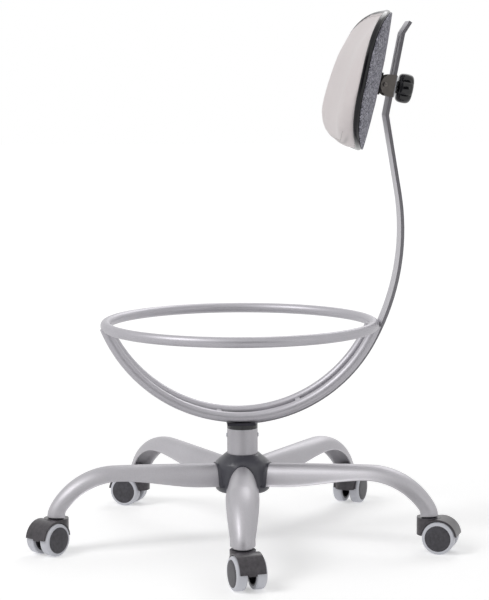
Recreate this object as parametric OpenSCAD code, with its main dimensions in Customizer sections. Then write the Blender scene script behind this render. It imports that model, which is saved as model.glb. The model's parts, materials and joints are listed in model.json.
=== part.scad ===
// Balance ball chair: a wheeled five-arm base, a turning round seat frame that
// cradles an exercise ball, and a small backrest clamped to a flat steel mast.
// Origin on the floor under the column; +Z up; the sitter faces -Y.

/* [Base] */
// Radius of the circle that the caster stems stand on
stem_circle_r = 300; // [250:5:350]
// Direction of the first arm, counter-clockwise from +X
first_arm_angle = -3.2; // [-36:0.2:36]
// Height of the top of an arm at its crest
arm_crest_z = 128.5; // [115:0.5:150]
// Height of the underside of an arm's outer end
arm_end_z = 56; // [50:0.5:60]
// How far the arm drops from its crest to the hub
arm_hub_drop = 7.5; // [0:0.5:15]
// Radius of the bend at the arm's outer end, on its upper side
arm_bend_r = 115; // [95:1:125]
// Steepest angle of the bend
arm_bend_angle = 56; // [45:1:60]
// Width of an arm where it meets the hub tube
arm_hub_w = 31; // [26:0.5:31]
// Width of an arm between the hub cover and its bend
arm_mid_w = 50; // [40:0.5:51]
// Width of an arm at its outer end
arm_end_w = 37; // [32:0.5:44]
// Depth of an arm at the hub
arm_hub_depth = 33; // [30:0.5:42]
// Depth of an arm along its bend
arm_bend_depth = 20; // [17:0.5:28]
// Depth of an arm at its outer end
arm_end_depth = 23; // [22.5:0.5:30]
// Thickness of the pressed sheet of an arm
arm_wall = 2.5; // [1.5:0.1:4]

/* [Column] */
// Outer diameter of the column tube
column_d = 48; // [40:0.5:56]
// Wall of the column tube
column_wall = 2.5; // [1.5:0.1:4]
// Height of the column tube's upper end
column_top_z = 175.8; // [160:0.5:190]
// Height of the black collar on the column
collar_h = 7; // [4:0.5:12]
// Outer diameter of the turning post
post_d = 28; // [20:0.5:34]
// Outer diameter of the hub tube that the arms are welded to
hub_d = 56; // [54:0.5:60]
// Height of the hub tube
hub_h = 38; // [25:0.5:40]
// How far the hub tube reaches below the arms
hub_drop = 9; // [2:0.5:12]
// Radius of the moulded hub cover at its foot
cover_r = 44.5; // [42:0.5:50]
// Wall of the hub cover
cover_wall = 2.2; // [1.5:0.1:3]
// How far the hub cover stands above the crest of the arms
cover_rise = 7.5; // [4:0.5:12]
// Thickness of the lip around each window of the hub cover
cover_lip_t = 1.2; // [0.8:0.1:2.5]

/* [Casters] */
// Diameter of a caster wheel
wheel_d = 50; // [44:0.5:51]
// Width of one wheel
wheel_w = 17; // [12:0.5:20]
// Gap between the two wheels of a caster
wheel_gap = 14; // [13:0.5:20]
// Thickness of the grey tread
tread_t = 5; // [3:0.25:8]
// Distance from the stem to the axle
caster_trail = 18; // [12:0.5:24]
// Width of the caster hood
hood_w = 39; // [30:0.5:44]
// Diameter of the boss that takes the stem
boss_d = 38; // [30:0.5:42]
// Diameter of the stem
stem_d = 10; // [8:0.5:10]
// Diameter of the axle
axle_d = 6; // [4:0.5:8]

/* [Seat frame] */
// Outer diameter of the bent seat tubes
tube_d = 16; // [12:0.5:20]
// Wall of the bent seat tubes
tube_wall = 1.5; // [1:0.1:2.5]
// Length of the plate that joins the cradle bows to the post
plate_y = 44; // [36:1:48]
// Thickness of that plate
plate_t = 4; // [3:0.5:6]
// Width of the two flat ties between the bows
tie_w = 8; // [6:1:16]
// Thickness of the ties
tie_t = 4; // [2:0.5:5]
// Centreline radius of the round seat ring
ring_r = 209; // [190:1:230]
// Height of the seat ring's centreline
ring_z = 339.7; // [320:0.5:360]
// Centreline radius of the two cradle bows
cradle_r = 226; // [215:1:250]
// Height of the lowest point of the cradle bows' centreline
cradle_z = 197.4; // [195:0.2:205]
// Distance between the two cradle bows
cradle_spacing = 60; // [54:1:70]
// How far the seat frame sits ahead of the column
seat_shift = 3.4; // [0:0.2:8]

/* [Mast] */
// Width of the flat mast
mast_w = 50; // [40:1:56]
// Thickness of the flat mast
mast_t = 5.2; // [4:0.1:7]
// Angle below the ring's level at which the mast leaves the cradle bows
mast_leave_angle = 29.8; // [26:0.2:34]
// Radius of the mast's long sweep, on its rear side
mast_sweep_r = 361.5; // [340:0.5:380]
// Forward lean of the mast below its kink
mast_lean = 9.5; // [7:0.1:12]
// Length of the leaning straight below the kink
mast_lower_len = 120.3; // [100:0.1:130]
// Backward lean of the straight that carries the backrest
mast_back_lean = 11; // [6:0.5:14]
// Length of the straight that carries the backrest
mast_upper_len = 126.5; // [118:0.5:140]
// Backward lean of the turned-out top
mast_tip_lean = 32.8; // [20:0.2:40]
// Length of the turned-out top
mast_tip_len = 20; // [10:0.5:30]
// Height of the slot's lower end above the kink
slot_low = 32.5; // [30:0.5:34]
// Length of the height slot
slot_len = 90; // [80:0.5:92]
// Height of the clamp above the kink at rest
clamp_rise = 45; // [45:0.5:48]

/* [Backrest] */
// Width of the backrest
pad_w = 350; // [300:2:400]
// Height of the backrest
pad_h = 218; // [190:2:240]
// Radius of the backrest's curve around the sitter
pad_wrap_r = 414; // [340:2:600]
// Radius of the backrest's upright curve
pad_bow_r = 1300; // [800:10:1600]
// Backward lean of the backrest at rest
pad_lean = 12; // [9:0.5:15]
// Height of the backrest's middle above the tilt pivot
pad_rise = 2; // [0:0.5:4]
// Thickness of the grey back panel
panel_t = 3; // [2:0.25:4]
// Thickness of the black shell
shell_t = 9; // [8:0.5:14]
// Crown of the cushion above the shell
cushion_crown = 35.5; // [20:1:45]
// Depth of the seam around the cushion
seam_depth = 1.2; // [0.4:0.1:2]

/* [Clamp] */
// Height of the clamp bracket
clamp_h = 34; // [30:0.5:36]
// Thickness of the clamp bracket's web
web_t = 3; // [2:0.1:3.5]
// Thickness of the clamp bracket's side plates
flange_t = 2.6; // [2:0.1:3.5]
// Distance from the tilt pivot to the front of the mast
pivot_to_mast = 10.4; // [9.5:0.1:12]
// Distance from the tilt pivot to the back panel's rear face
pivot_to_panel = 7.7; // [7.5:0.1:9]
// Thickness of the backrest bracket
base_t = 2.5; // [2:0.1:3]
// Radius of the backrest bracket's ears
ear_r = 6; // [5:0.5:6]
// Diameter of the tilt rivets
rivet_d = 6; // [4:0.5:6]
// Diameter of the clamp screw
screw_d = 8; // [6:0.5:9]
// Height of the clamp screw's head
screw_head_h = 3; // [2:0.25:3]
// Width of the pressure plate behind the mast
pressure_w = 44; // [30:1:50]
// Thickness of the pressure plate
pressure_t = 2; // [1.5:0.25:3]
// Diameter of the clamp knob
knob_d = 48; // [40:0.5:52]
// Thickness of the clamp knob
knob_t = 24; // [18:0.5:28]
// Length of the clamp knob's neck
knob_neck_h = 3.8; // [2:0.1:5]
// Diameter of the four backrest screws
pad_screw_d = 5; // [4:0.5:6]
// How far the backrest screws reach into the backrest
pad_screw_reach = 9; // [6:0.5:10]

/* [Fittings] */
// Radial clearance of a running fit
run_gap = 0.05; // [0.03:0.01:0.1]
// Space left between pieces that slide or sit beside each other
fit_gap = 0.3; // [0.25:0.05:0.4]
// Least space between pieces that pass each other
pass_gap = 1; // [0.8:0.1:1.2]
// Wall of a stem socket
socket_wall = 2; // [1.5:0.5:2]
// Height of a stem socket inside the arm
socket_h = 8.5; // [6:0.5:9]
// Thickness of the black ring under an arm's end
socket_ring_h = 1.8; // [1:0.1:2.4]
// How far that ring stands out around the socket
socket_lip = 5; // [3:0.5:5]
// How far a stem stands out above its socket
stem_tip = 4.5; // [2:0.5:5]
// Thickness of the plate at an arm's outer end
end_plate_t = 3; // [2:0.5:4]
// Height of the swivel bush inside the column's upper end
upper_bush_h = 26; // [20:1:30]
// Height of the swivel bush inside the column's lower end
lower_bush_h = 20; // [15:1:24]
// Thickness of the lower bush's flange
lower_flange_h = 3; // [2:0.5:4]
// Thickness of the disc that holds the post down
retainer_t = 3; // [2:0.5:4]
// Distance of the two bush screws below the column's upper end
bush_screw_drop = 11.2; // [8:0.2:16]
// Diameter of the two bush screws
bush_screw_d = 4; // [3:0.5:5]

/* [Hidden] */
$fn = 64;
eps = 0.01;
// One overrun serves every through cut
cut = 2;

arm_count = 5;
arm_step = 360 / arm_count;
// Where each caster trails to, counter-clockwise from +X, as the chair was left
trail_angles = [16.3, 69.8, 152.8, -115.2, -43];

silver = "#C6C6CB";
silver_dark = "#B4B4BA";
black_plastic = "#36363A";
caster_plastic = "#55514F";
tread_grey = "#B9BBC1";
zinc = "#C9CCD0";
bracket_steel = "#6E6A66";
leatherette = "#D2C9C4";
fleck_grey = "#8C8C99";

// A closed skin over rings of equal length, each a list of points. From the ring
// numbered turned on, its faces are split along their other diagonal.
module skin(rings, turned = 1000) {
    count = len(rings);
    size = len(rings[0]);
    points = [for (ring = rings) for (p = ring) p];
    sides = [for (i = [0 : count - 2]) for (j = [0 : size - 1])
        let (k = (j + 1) % size, a = i * size, b = (i + 1) * size)
        each i < turned ? [[a + j, b + j, b + k], [a + j, b + k, a + k]]
            : [[a + j, b + j, a + k], [b + j, b + k, a + k]]];
    first = [for (j = [1 : size - 2]) [0, j, j + 1]];
    base = (count - 1) * size;
    last = [for (j = [1 : size - 2]) [base, base + j + 1, base + j]];
    polyhedron(points = points, faces = concat(sides, first, last), convexity = 6);
}

function ease(x) = let (c = min(1, max(0, x))) c * c * (3 - 2 * c);
function signed_pow(x, p) = sign(x) * pow(abs(x), p);
// A flat-sided cutter that goes just outside a circle
module round_prism(radius, height) {
    sides = 48;
    linear_extrude(height) polygon([for (i = [0 : sides - 1])
        radius / cos(180 / sides) * [cos((i + 0.5) * 360 / sides), sin((i + 0.5) * 360 / sides)]]);
}

// Arms: pressed sheet channels, open below, welded to the hub tube
arm_root_r = hub_d / 2;
arm_start_r = arm_root_r - 4 * cut;
arm_bend_centre_z = arm_crest_z - arm_bend_r;
// The outer end reaches farther past the stem than it does behind it
arm_toe_share = 0.58;
arm_toe_r = stem_circle_r + arm_end_depth * arm_toe_share;
arm_heel_r = arm_toe_r - arm_end_depth;
// The bend is placed so that its steepest point flows into the outer end
arm_toe_round = arm_end_depth * 0.35;
arm_bend_start_r = arm_toe_r - arm_toe_round - arm_bend_r * sin(arm_bend_angle);
arm_straight_steps = 6;
arm_bend_steps = 8;
arm_slim_from = arm_bend_start_r * 0.34;
arm_rise_power = 1.2;
arm_taper_power = 2.2;
// Half an arch from rim to crown, as shares of half its width and of its depth
arch_shares = [[1, 0], [0.92, 0.09], [0.82, 0.37], [0.7, 0.63], [0.55, 0.8], [0.34, 0.94], [0.12, 1]];
arch_count = len(arch_shares);
full_arch_shares = concat(arch_shares, [for (i = [1 : arch_count])
    let (p = arch_shares[arch_count - i]) [-p.x, p.y]]);

function arm_w_at(r) = arm_hub_w
    + (arm_mid_w - arm_hub_w) * sqrt(min(1, (r - arm_start_r) / (1.35 * cover_r - arm_start_r)));
function arm_depth_at(r) = arm_hub_depth
    - (arm_hub_depth - arm_bend_depth) * ease((r - arm_slim_from) / (arm_bend_start_r - arm_slim_from));
function arm_top_at(r) = arm_crest_z
    - arm_hub_drop * pow((arm_bend_start_r - r) / (arm_bend_start_r - arm_root_r), arm_rise_power);

// Each station is [outer point, inner point, width], points as [radius, height]
arm_straight_radii = concat([arm_start_r], [for (i = [0 : arm_straight_steps - 1])
    cover_r + (arm_bend_start_r - cover_r) * i / arm_straight_steps]);
arm_straight_stations = [for (r = arm_straight_radii)
    [[r, arm_top_at(r)], [r, arm_top_at(r) - arm_depth_at(r)], arm_w_at(r)]];
arm_bend_stations = [for (i = [0 : arm_bend_steps])
    let (a = arm_bend_angle * i / arm_bend_steps, inner = arm_bend_r - arm_bend_depth)
    [[arm_bend_start_r + arm_bend_r * sin(a), arm_bend_centre_z + arm_bend_r * cos(a)],
     [arm_bend_start_r + inner * sin(a), arm_bend_centre_z + inner * cos(a)],
     arm_mid_w - (arm_mid_w - arm_end_w) * pow(a / arm_bend_angle, arm_taper_power)]];
arm_last_bend = arm_bend_stations[arm_bend_steps];
arm_toe_stations = [
    [[arm_toe_r - arm_toe_round * 0.3, arm_end_z + (arm_last_bend[0].y - arm_end_z) * 0.52],
     [arm_heel_r - arm_toe_round * 0.1, arm_end_z + (arm_last_bend[1].y - arm_end_z) * 0.4], arm_end_w],
    [[arm_toe_r, arm_end_z], [arm_heel_r, arm_end_z], arm_end_w]];
arm_stations = concat(arm_straight_stations, arm_bend_stations, arm_toe_stations);

// The arch of one station, drawn in by inset on its sheet side and
// lengthened by drop below its open side
function arm_arch(s, inset, drop) =
    let (up = [s[0].x - s[1].x, s[0].y - s[1].y], depth = norm(up), n = up / depth,
         half = s[2] / 2 - inset, high = depth - inset,
         top = [for (p = full_arch_shares) [half * p.x, high * p.y]],
         all = drop > 0 ? concat([[half, -drop]], top, [[-half, -drop]]) : top)
    [for (p = all) [s[1].x + n.x * p.y, p.x, s[1].y + n.y * p.y]];

// The hollow stops short of the outer end and leaves the end plate
arm_hollow_stations = concat(
    [[[arm_stations[0][0].x - cut, arm_stations[0][0].y],
      [arm_stations[0][1].x - cut, arm_stations[0][1].y], arm_stations[0][2]]],
    [for (i = [1 : len(arm_stations) - 3]) arm_stations[i]],
    [[[arm_toe_r - arm_toe_round * 0.3, arm_end_z + end_plate_t],
      [arm_heel_r - cut, arm_end_z + end_plate_t], arm_end_w]]);

stem_r = stem_d / 2;
socket_r = stem_r + socket_wall;

module arm(index) {
    color(silver)
    rotate([0, 0, first_arm_angle + arm_step * index])
    difference() {
        skin([for (s = arm_stations) arm_arch(s, 0, 0)]);
        skin([for (s = arm_hollow_stations) arm_arch(s, arm_wall, arm_bend_depth)]);
        round_prism(arm_root_r, arm_crest_z + cut);
        translate([stem_circle_r, 0, arm_end_z - cut])
            round_prism(socket_r + run_gap, end_plate_t + 2 * cut);
    }
}

// Hub: the tube that the arms are welded to, and the column tube inside it
column_r = column_d / 2;
hub_foot_z = arm_crest_z - arm_hub_drop - arm_hub_depth - hub_drop;
column_foot_z = hub_foot_z - cover_wall;
bush_screw_head_r = bush_screw_d * 0.9;
bush_screw_head_h = bush_screw_d * 0.4;
bush_screw_z = column_top_z - bush_screw_drop;

module column_tubes() {
    color(silver)
    translate([0, 0, hub_foot_z])
    difference() {
        cylinder(r = hub_d / 2, h = hub_h);
        translate([0, 0, -cut]) cylinder(r = column_r + run_gap, h = hub_h + 2 * cut);
    }
    color(silver)
    difference() {
        translate([0, 0, column_foot_z]) cylinder(r = column_r, h = column_top_z - column_foot_z);
        translate([0, 0, column_foot_z - cut])
            cylinder(r = column_r - column_wall, h = column_top_z - column_foot_z + 2 * cut);
        translate([0, 0, bush_screw_z]) rotate([90, 0, 0])
            cylinder(r = bush_screw_d / 2 + run_gap, h = column_d + 2 * cut, center = true);
    }
}

// Swivel bushes: the upper one shows as the black collar, both carry the post
bush_r = column_r - column_wall - run_gap;
post_r = post_d / 2;

module bush(flange_h, spigot_h) {
    difference() {
        union() {
            cylinder(r = column_r, h = flange_h);
            translate([0, 0, -spigot_h]) cylinder(r = bush_r, h = spigot_h + eps);
        }
        translate([0, 0, -spigot_h - cut])
            cylinder(r = post_r + run_gap, h = spigot_h + flange_h + 2 * cut);
    }
}

module swivel_bushes() {
    color(black_plastic) {
        difference() {
            translate([0, 0, column_top_z]) bush(collar_h, upper_bush_h);
            translate([0, 0, bush_screw_z]) rotate([90, 0, 0])
                cylinder(r = bush_screw_d / 2 + run_gap, h = column_d + 2 * cut, center = true);
        }
        translate([0, 0, column_foot_z]) mirror([0, 0, 1]) bush(lower_flange_h, lower_bush_h);
    }
}

module bush_screws() {
    shank = column_r - post_r - pass_gap;
    color(zinc)
    for (side = [0, 180])
        rotate([0, 0, side]) translate([0, column_r, bush_screw_z]) rotate([90, 0, 0]) {
            cylinder(r = bush_screw_d / 2, h = shank);
            translate([0, 0, -bush_screw_head_h])
                cylinder(r1 = bush_screw_head_r * 0.7, r2 = bush_screw_head_r, h = bush_screw_head_h);
        }
}

// Hub cover: one moulding with an arched window and a lip for every arm
cover_top_z = arm_crest_z + cover_rise;
cover_foot_z = column_foot_z;
cover_arm_top = arm_top_at(cover_r);
cover_bore_r = column_r + run_gap + fit_gap;
cover_lip_depth = arm_wall * 3;

// Outer line of the cover as [radius, height] from the column to the foot, its
// points as shares of the way out and of the way down
cover_shares = [[0, 0], [0.1, 0], [0.34, 0.07], [0.64, 0.15], [0.87, 0.23], [0.95, 0.34], [0.98, 0.55],
                [1, 0.72], [0.97, 0.86], [0.86, 0.96], [0.72, 1]];
cover_line = [for (p = cover_shares)
    [cover_bore_r + (cover_r - cover_bore_r) * p.x, cover_top_z - (cover_top_z - cover_foot_z) * p.y]];
// Its inner line: each point moved in by the wall
cover_inner_line = [for (i = [0 : len(cover_shares) - 1])
    let (steep = cover_shares[i].y / 0.5)
    [cover_line[i].x - cover_wall * min(1, steep),
     max(cover_foot_z + cover_wall, cover_line[i].y - cover_wall * max(0, 1 - steep * 0.6))]];

// Section of an arm where it passes the cover, grown by grow
module arm_window(grow, length) {
    half = arm_w_at(cover_r) / 2 + grow;
    depth = arm_depth_at(cover_r);
    translate([cover_r, 0, cover_arm_top - depth])
        rotate([90, 0, 90]) linear_extrude(length, center = true)
            polygon([for (p = full_arch_shares)
                [half * p.x, p.y > 0 ? (depth + grow) * p.y : -grow]]);
}

module hub_cover() {
    color(black_plastic)
    difference() {
        union() {
            rotate_extrude() polygon(concat(cover_line, [[cover_bore_r, cover_foot_z]]));
            for (i = [0 : arm_count - 1])
                rotate([0, 0, first_arm_angle + arm_step * i])
                    translate([(cover_lip_t - cover_lip_depth) / 2, 0, 0])
                        arm_window(pass_gap / 2 + cover_lip_t, cover_lip_depth);
        }
        rotate_extrude() polygon(concat(cover_inner_line, [[cover_bore_r, cover_foot_z + cover_wall]]));
        for (i = [0 : arm_count - 1])
            rotate([0, 0, first_arm_angle + arm_step * i]) arm_window(pass_gap / 2, cover_r);
        translate([0, 0, cover_foot_z - cut])
            cylinder(r = cover_bore_r, h = cover_top_z - cover_foot_z + 2 * cut);
        translate([0, 0, cover_foot_z - cut * 4]) cylinder(r = cover_r + cut * 4, h = cut * 4);
    }
}

// Caster stems and the sockets that hold them in the arms
wheel_r = wheel_d / 2;
boss_top_z = arm_end_z - socket_ring_h - fit_gap;
stem_bore_depth = stem_d * 1.6;

module at_stem(index) {
    rotate([0, 0, first_arm_angle + arm_step * index])
        translate([stem_circle_r, 0, 0])
            rotate([0, 0, -first_arm_angle - arm_step * index]) children();
}

module stem_sockets() {
    color(black_plastic)
    for (i = [0 : arm_count - 1]) at_stem(i)
        difference() {
            union() {
                translate([0, 0, arm_end_z - socket_ring_h])
                    cylinder(r = socket_r + socket_lip, h = socket_ring_h);
                translate([0, 0, arm_end_z - eps]) cylinder(r = socket_r, h = socket_h);
            }
            translate([0, 0, arm_end_z - socket_ring_h - cut])
                cylinder(r = stem_r + run_gap, h = socket_h + socket_ring_h + 2 * cut);
        }
}

module caster_stems() {
    foot = boss_top_z - stem_bore_depth;
    shoulder = arm_end_z + socket_h + stem_tip * 0.7;
    color(zinc)
    for (i = [0 : arm_count - 1]) at_stem(i) {
        translate([0, 0, foot]) cylinder(r = stem_r, h = shoulder - foot);
        translate([0, 0, shoulder - eps]) cylinder(r1 = stem_r, r2 = stem_r * 0.75, h = stem_tip * 0.3);
    }
}

// Casters: drawn with the stem at the origin and the axle behind it on +X
pocket_r = wheel_r + pass_gap;
hood_r = pocket_r + arm_wall;
web_half = wheel_gap / 2 - pass_gap / 2;
hood_low_z = wheel_r * 1.12;
boss_low_z = wheel_r * 1.06;
axle_r = axle_d / 2;
axle_boss_r = axle_d * 1.25;
axle_half = wheel_gap / 2 + wheel_w * 0.72;

module place_caster(index) {
    at_stem(index) rotate([0, 0, trail_angles[index]]) children();
}

module on_axle() {
    translate([caster_trail, 0, wheel_r]) rotate([90, 0, 0]) children();
}

module caster_body(index) {
    color(caster_plastic)
    place_caster(index)
    difference() {
        union() {
            intersection() {
                on_axle() cylinder(r = hood_r, h = hood_w, center = true);
                translate([-boss_d, -hood_w, hood_low_z])
                    cube([boss_d * 2 + hood_r * 2, hood_w * 2, boss_top_z - hood_low_z]);
            }
            translate([0, 0, boss_low_z]) cylinder(r = boss_d / 2, h = boss_top_z - boss_low_z);
            intersection() {
                on_axle() cylinder(r = pocket_r, h = web_half * 2, center = true);
                translate([-boss_d, -hood_w, wheel_r])
                    cube([boss_d * 2 + hood_r * 2, hood_w * 2, wheel_d]);
            }
            on_axle() cylinder(r = axle_boss_r, h = web_half * 2, center = true);
        }
        for (side = [-1, 1])
            on_axle() translate([0, 0, side * (web_half + hood_w)])
                cylinder(r = pocket_r, h = hood_w * 2, center = true);
        on_axle() cylinder(r = axle_r + run_gap, h = hood_w + 2 * cut, center = true);
        translate([0, 0, boss_top_z - stem_bore_depth - fit_gap])
            cylinder(r = stem_r + run_gap, h = stem_bore_depth + cut);
    }
}

module caster_axle(index) {
    color(zinc) place_caster(index) on_axle()
        cylinder(r = axle_r, h = axle_half * 2, center = true);
}

wheel_core_r = wheel_r - tread_t;
wheel_dome = wheel_w * 0.05;
wheel_rim_t = tread_t * 0.5;
wheel_face_t = tread_t * 0.6;
tread_round = tread_t * 0.8;

// One wheel, its inner face on the gap side; side is 1 or -1
module on_wheel(index, side) {
    place_caster(index) on_axle() mirror([0, 0, side > 0 ? 1 : 0])
        translate([0, 0, wheel_gap / 2]) children();
}

module wheel(index, side) {
    color(caster_plastic)
    on_wheel(index, side)
    difference() {
        rotate_extrude() polygon([
            [0, 0], [axle_r + wheel_rim_t, 0], [axle_r + wheel_rim_t, wheel_w - wheel_face_t],
            [wheel_core_r - wheel_rim_t, wheel_w - wheel_face_t], [wheel_core_r - wheel_rim_t, 0],
            [wheel_core_r, 0], [wheel_core_r, wheel_w - wheel_dome],
            [wheel_core_r * 0.9, wheel_w - wheel_dome * 0.2], [wheel_core_r * 0.6, wheel_w],
            [0, wheel_w]]);
        translate([0, 0, -cut])
            cylinder(r = axle_r + run_gap, h = axle_half - wheel_gap / 2 + fit_gap + cut);
    }
}

module tyre(index, side) {
    color(tread_grey)
    on_wheel(index, side)
    rotate_extrude() difference() {
        translate([wheel_core_r, 0]) square([tread_t, wheel_w - wheel_dome]);
        difference() {
            translate([wheel_r - tread_round, wheel_w - wheel_dome - tread_round])
                square([tread_round + cut, tread_round + cut]);
            translate([wheel_r - tread_round, wheel_w - wheel_dome - tread_round]) circle(r = tread_round);
        }
        difference() {
            translate([wheel_r - tread_round / 2, -cut]) square([tread_round + cut, tread_round / 2 + cut]);
            translate([wheel_r - tread_round / 2, tread_round / 2]) circle(r = tread_round / 2);
        }
    }
}

// Seat frame: a ring and two bows bent to hold the ball, on a turning post
tube_r = tube_d / 2;
cradle_centre_z = cradle_z + cradle_r;
// The bows end inside the ring, where they are coped and welded to it
cradle_end_angle = asin((cradle_centre_z - ring_z) / cradle_r);
plate_x = cradle_spacing + tube_d;
plate_z = cradle_z - tube_r - plate_t;
post_flange_r = column_r - column_wall / 2;
post_foot_z = column_foot_z - lower_flange_h - fit_gap;

module seat_ring() {
    color(silver)
    translate([0, -seat_shift, ring_z])
    rotate_extrude($fn = 128) translate([ring_r, 0]) difference() {
        circle(r = tube_r);
        circle(r = tube_r - tube_wall);
    }
}

module cradle_tube(side) {
    color(silver)
    difference() {
        translate([side * cradle_spacing / 2, -seat_shift, cradle_centre_z])
            rotate([0, 90, 0])
                rotate([0, 0, -90 + cradle_end_angle])
                    rotate_extrude(angle = 180 - 2 * cradle_end_angle, $fn = 128)
                        translate([cradle_r, 0]) difference() {
                            circle(r = tube_r);
                            circle(r = tube_r - tube_wall);
                        }
        translate([0, -seat_shift, ring_z])
            rotate_extrude($fn = 128) translate([ring_r, 0]) circle(r = tube_r);
        translate([-ring_r - tube_d, -ring_r * 2, ring_z])
            cube([ring_r * 2 + tube_d * 2, ring_r * 4, cradle_r]);
    }
}

// Two flat ties between the bows, level with their centreline
tie_angles = [-8.3, 23.9];

module cradle_ties() {
    color(silver)
    difference() {
        for (a = tie_angles)
            translate([0, -seat_shift, cradle_centre_z]) rotate([a, 0, 0])
                translate([0, 0, -cradle_r])
                    cube([cradle_spacing, tie_w, tie_t], center = true);
        for (side = [-1, 1])
            translate([side * cradle_spacing / 2, -seat_shift, cradle_centre_z])
                rotate([0, 90, 0]) rotate_extrude($fn = 128)
                    translate([cradle_r, 0]) circle(r = tube_r);
    }
}

module seat_plate() {
    color(bracket_steel)
    translate([-plate_x / 2, -plate_y / 2 - seat_shift, plate_z]) cube([plate_x, plate_y, plate_t]);
}

module swivel_post() {
    flange_z = column_top_z + collar_h + fit_gap;
    color(silver_dark)
    difference() {
        union() {
            translate([0, 0, post_foot_z]) cylinder(r = post_r, h = plate_z - post_foot_z);
            translate([0, 0, flange_z]) cylinder(r = post_flange_r, h = plate_z - flange_z);
        }
        translate([0, 0, post_foot_z - cut]) cylinder(r = screw_d / 2, h = post_d + cut);
    }
}

module post_retainer() {
    head_h = screw_d / 2;
    color(zinc)
    translate([0, 0, post_foot_z]) {
        translate([0, 0, -retainer_t]) cylinder(r = column_r - column_wall, h = retainer_t);
        translate([0, 0, -eps]) cylinder(r = screw_d / 2 - run_gap, h = post_r);
        translate([0, 0, -retainer_t - head_h])
            cylinder(r = screw_d * 0.8, h = head_h + eps, $fn = 6);
    }
}

// Mast: one flat bar. Its rear side follows the bows, sweeps up, leans
// forward to the kink, back along the slotted straight and out at the top.
mast_edge_drop = sqrt(tube_r * tube_r - pow(cradle_spacing / 2 - mast_w / 2, 2));
mast_bow_r = cradle_r + mast_edge_drop + mast_t;
mast_start_y = plate_y / 2 - seat_shift + pass_gap;
mast_start_angle = 90 - asin((mast_start_y + seat_shift) / mast_bow_r);

// Points on the mast's rear side as [y, z]
mast_bow_centre = [-seat_shift, cradle_centre_z];
mast_leave = mast_bow_centre + mast_bow_r * [cos(mast_leave_angle), -sin(mast_leave_angle)];
mast_sweep_centre = mast_leave - mast_sweep_r * [cos(mast_leave_angle), -sin(mast_leave_angle)];
mast_lean_point = mast_sweep_centre + mast_sweep_r * [cos(mast_lean), sin(mast_lean)];
mast_kink = mast_lean_point + mast_lower_len * [-sin(mast_lean), cos(mast_lean)];
mast_top = mast_kink + mast_upper_len * [sin(mast_back_lean), cos(mast_back_lean)];
slot_w = screw_d + 2 * fit_gap;

// A point further up a straight that leans back, and one behind it
function along(p, lean, length) = p + length * [sin(lean), cos(lean)];
function behind(p, lean, distance) = p + distance * [cos(lean), -sin(lean)];
mast_bend_r = mast_t * 1.5;
kink_tangent = mast_bend_r * tan((mast_back_lean + mast_lean) / 2);
tip_tangent = mast_bend_r * tan((mast_tip_lean - mast_back_lean) / 2);
kink_centre = behind(along(mast_kink, -mast_lean, -kink_tangent), -mast_lean, mast_bend_r);
tip_centre = behind(along(mast_top, mast_back_lean, -tip_tangent), mast_back_lean, mast_bend_r);

// Points along one arc, without its first where it carries on from another
function arc_points(centre, radius, from_angle, to_angle, steps, first) = [for (i = [first : steps])
    let (a = from_angle + (to_angle - from_angle) * i / steps) centre + radius * [cos(a), sin(a)]];
bow_steps = 22;
sweep_steps = 18;
bend_steps = 5;
// One side of the bar from its lower end to its top, offset in front of its rear side
function mast_side(offset) = concat(
    arc_points(mast_bow_centre, mast_bow_r - offset, -mast_start_angle, -mast_leave_angle, bow_steps, 0),
    arc_points(mast_sweep_centre, mast_sweep_r - offset, -mast_leave_angle, mast_lean, sweep_steps, 1),
    arc_points(kink_centre, mast_bend_r + offset, 180 + mast_lean, 180 - mast_back_lean, bend_steps, 0),
    arc_points(tip_centre, mast_bend_r + offset, 180 - mast_back_lean, 180 - mast_tip_lean, bend_steps, 0),
    [behind(along(mast_top, mast_tip_lean, mast_tip_len), mast_tip_lean, -offset)]);
mast_rear_side = mast_side(0);
mast_front_side = mast_side(mast_t);
mast_side_count = len(mast_rear_side);

// The turned-out top is a node of its own, from where its bend begins
tip_from = mast_side_count - bend_steps - 2;

module mast_length(from, to) {
    translate([-mast_w / 2, 0, 0]) rotate([90, 0, 90]) linear_extrude(mast_w)
        polygon(concat([for (i = [from : to]) mast_rear_side[i]],
            [for (i = [0 : to - from]) mast_front_side[to - i]]));
}

module mast() {
    color(silver)
    difference() {
        mast_length(0, tip_from);
        translate([0, mast_kink.x, mast_kink.y]) rotate([-mast_back_lean, 0, 0])
            translate([0, cut, slot_low]) rotate([90, 0, 0]) linear_extrude(mast_t + 2 * cut) {
                translate([-slot_w / 2, slot_w / 2]) square([slot_w, slot_len - slot_w]);
                translate([0, slot_w / 2]) circle(r = slot_w / 2);
                translate([0, slot_len - slot_w / 2]) circle(r = slot_w / 2);
            }
    }
}

module mast_tip() {
    color(silver) mast_length(tip_from, mast_side_count - 1);
}

// Clamp: rides on the slotted straight. Its own frame starts at the tilt
// pivot, +Y runs back through the mast and +Z up along it.
screw_r = screw_d / 2;
screw_head_r = screw_d * 1.1;
flange_inner = mast_w / 2 + fit_gap;
web_front = pivot_to_mast - fit_gap - web_t;
rivet_r = rivet_d / 2;
rivet_head_r = rivet_d * 0.7;
rivet_head_h = rivet_d * 0.3;
rivet_end = base_t * 3;
pressure_from = pivot_to_mast + mast_t + fit_gap;
knob_from = pressure_from + pressure_t + fit_gap;
knob_neck_r = screw_d * 1.25;

module at_clamp() {
    translate([0, mast_kink.x, mast_kink.y]) rotate([-mast_back_lean, 0, 0])
        translate([0, -mast_t - pivot_to_mast, clamp_rise]) children();
}

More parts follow.
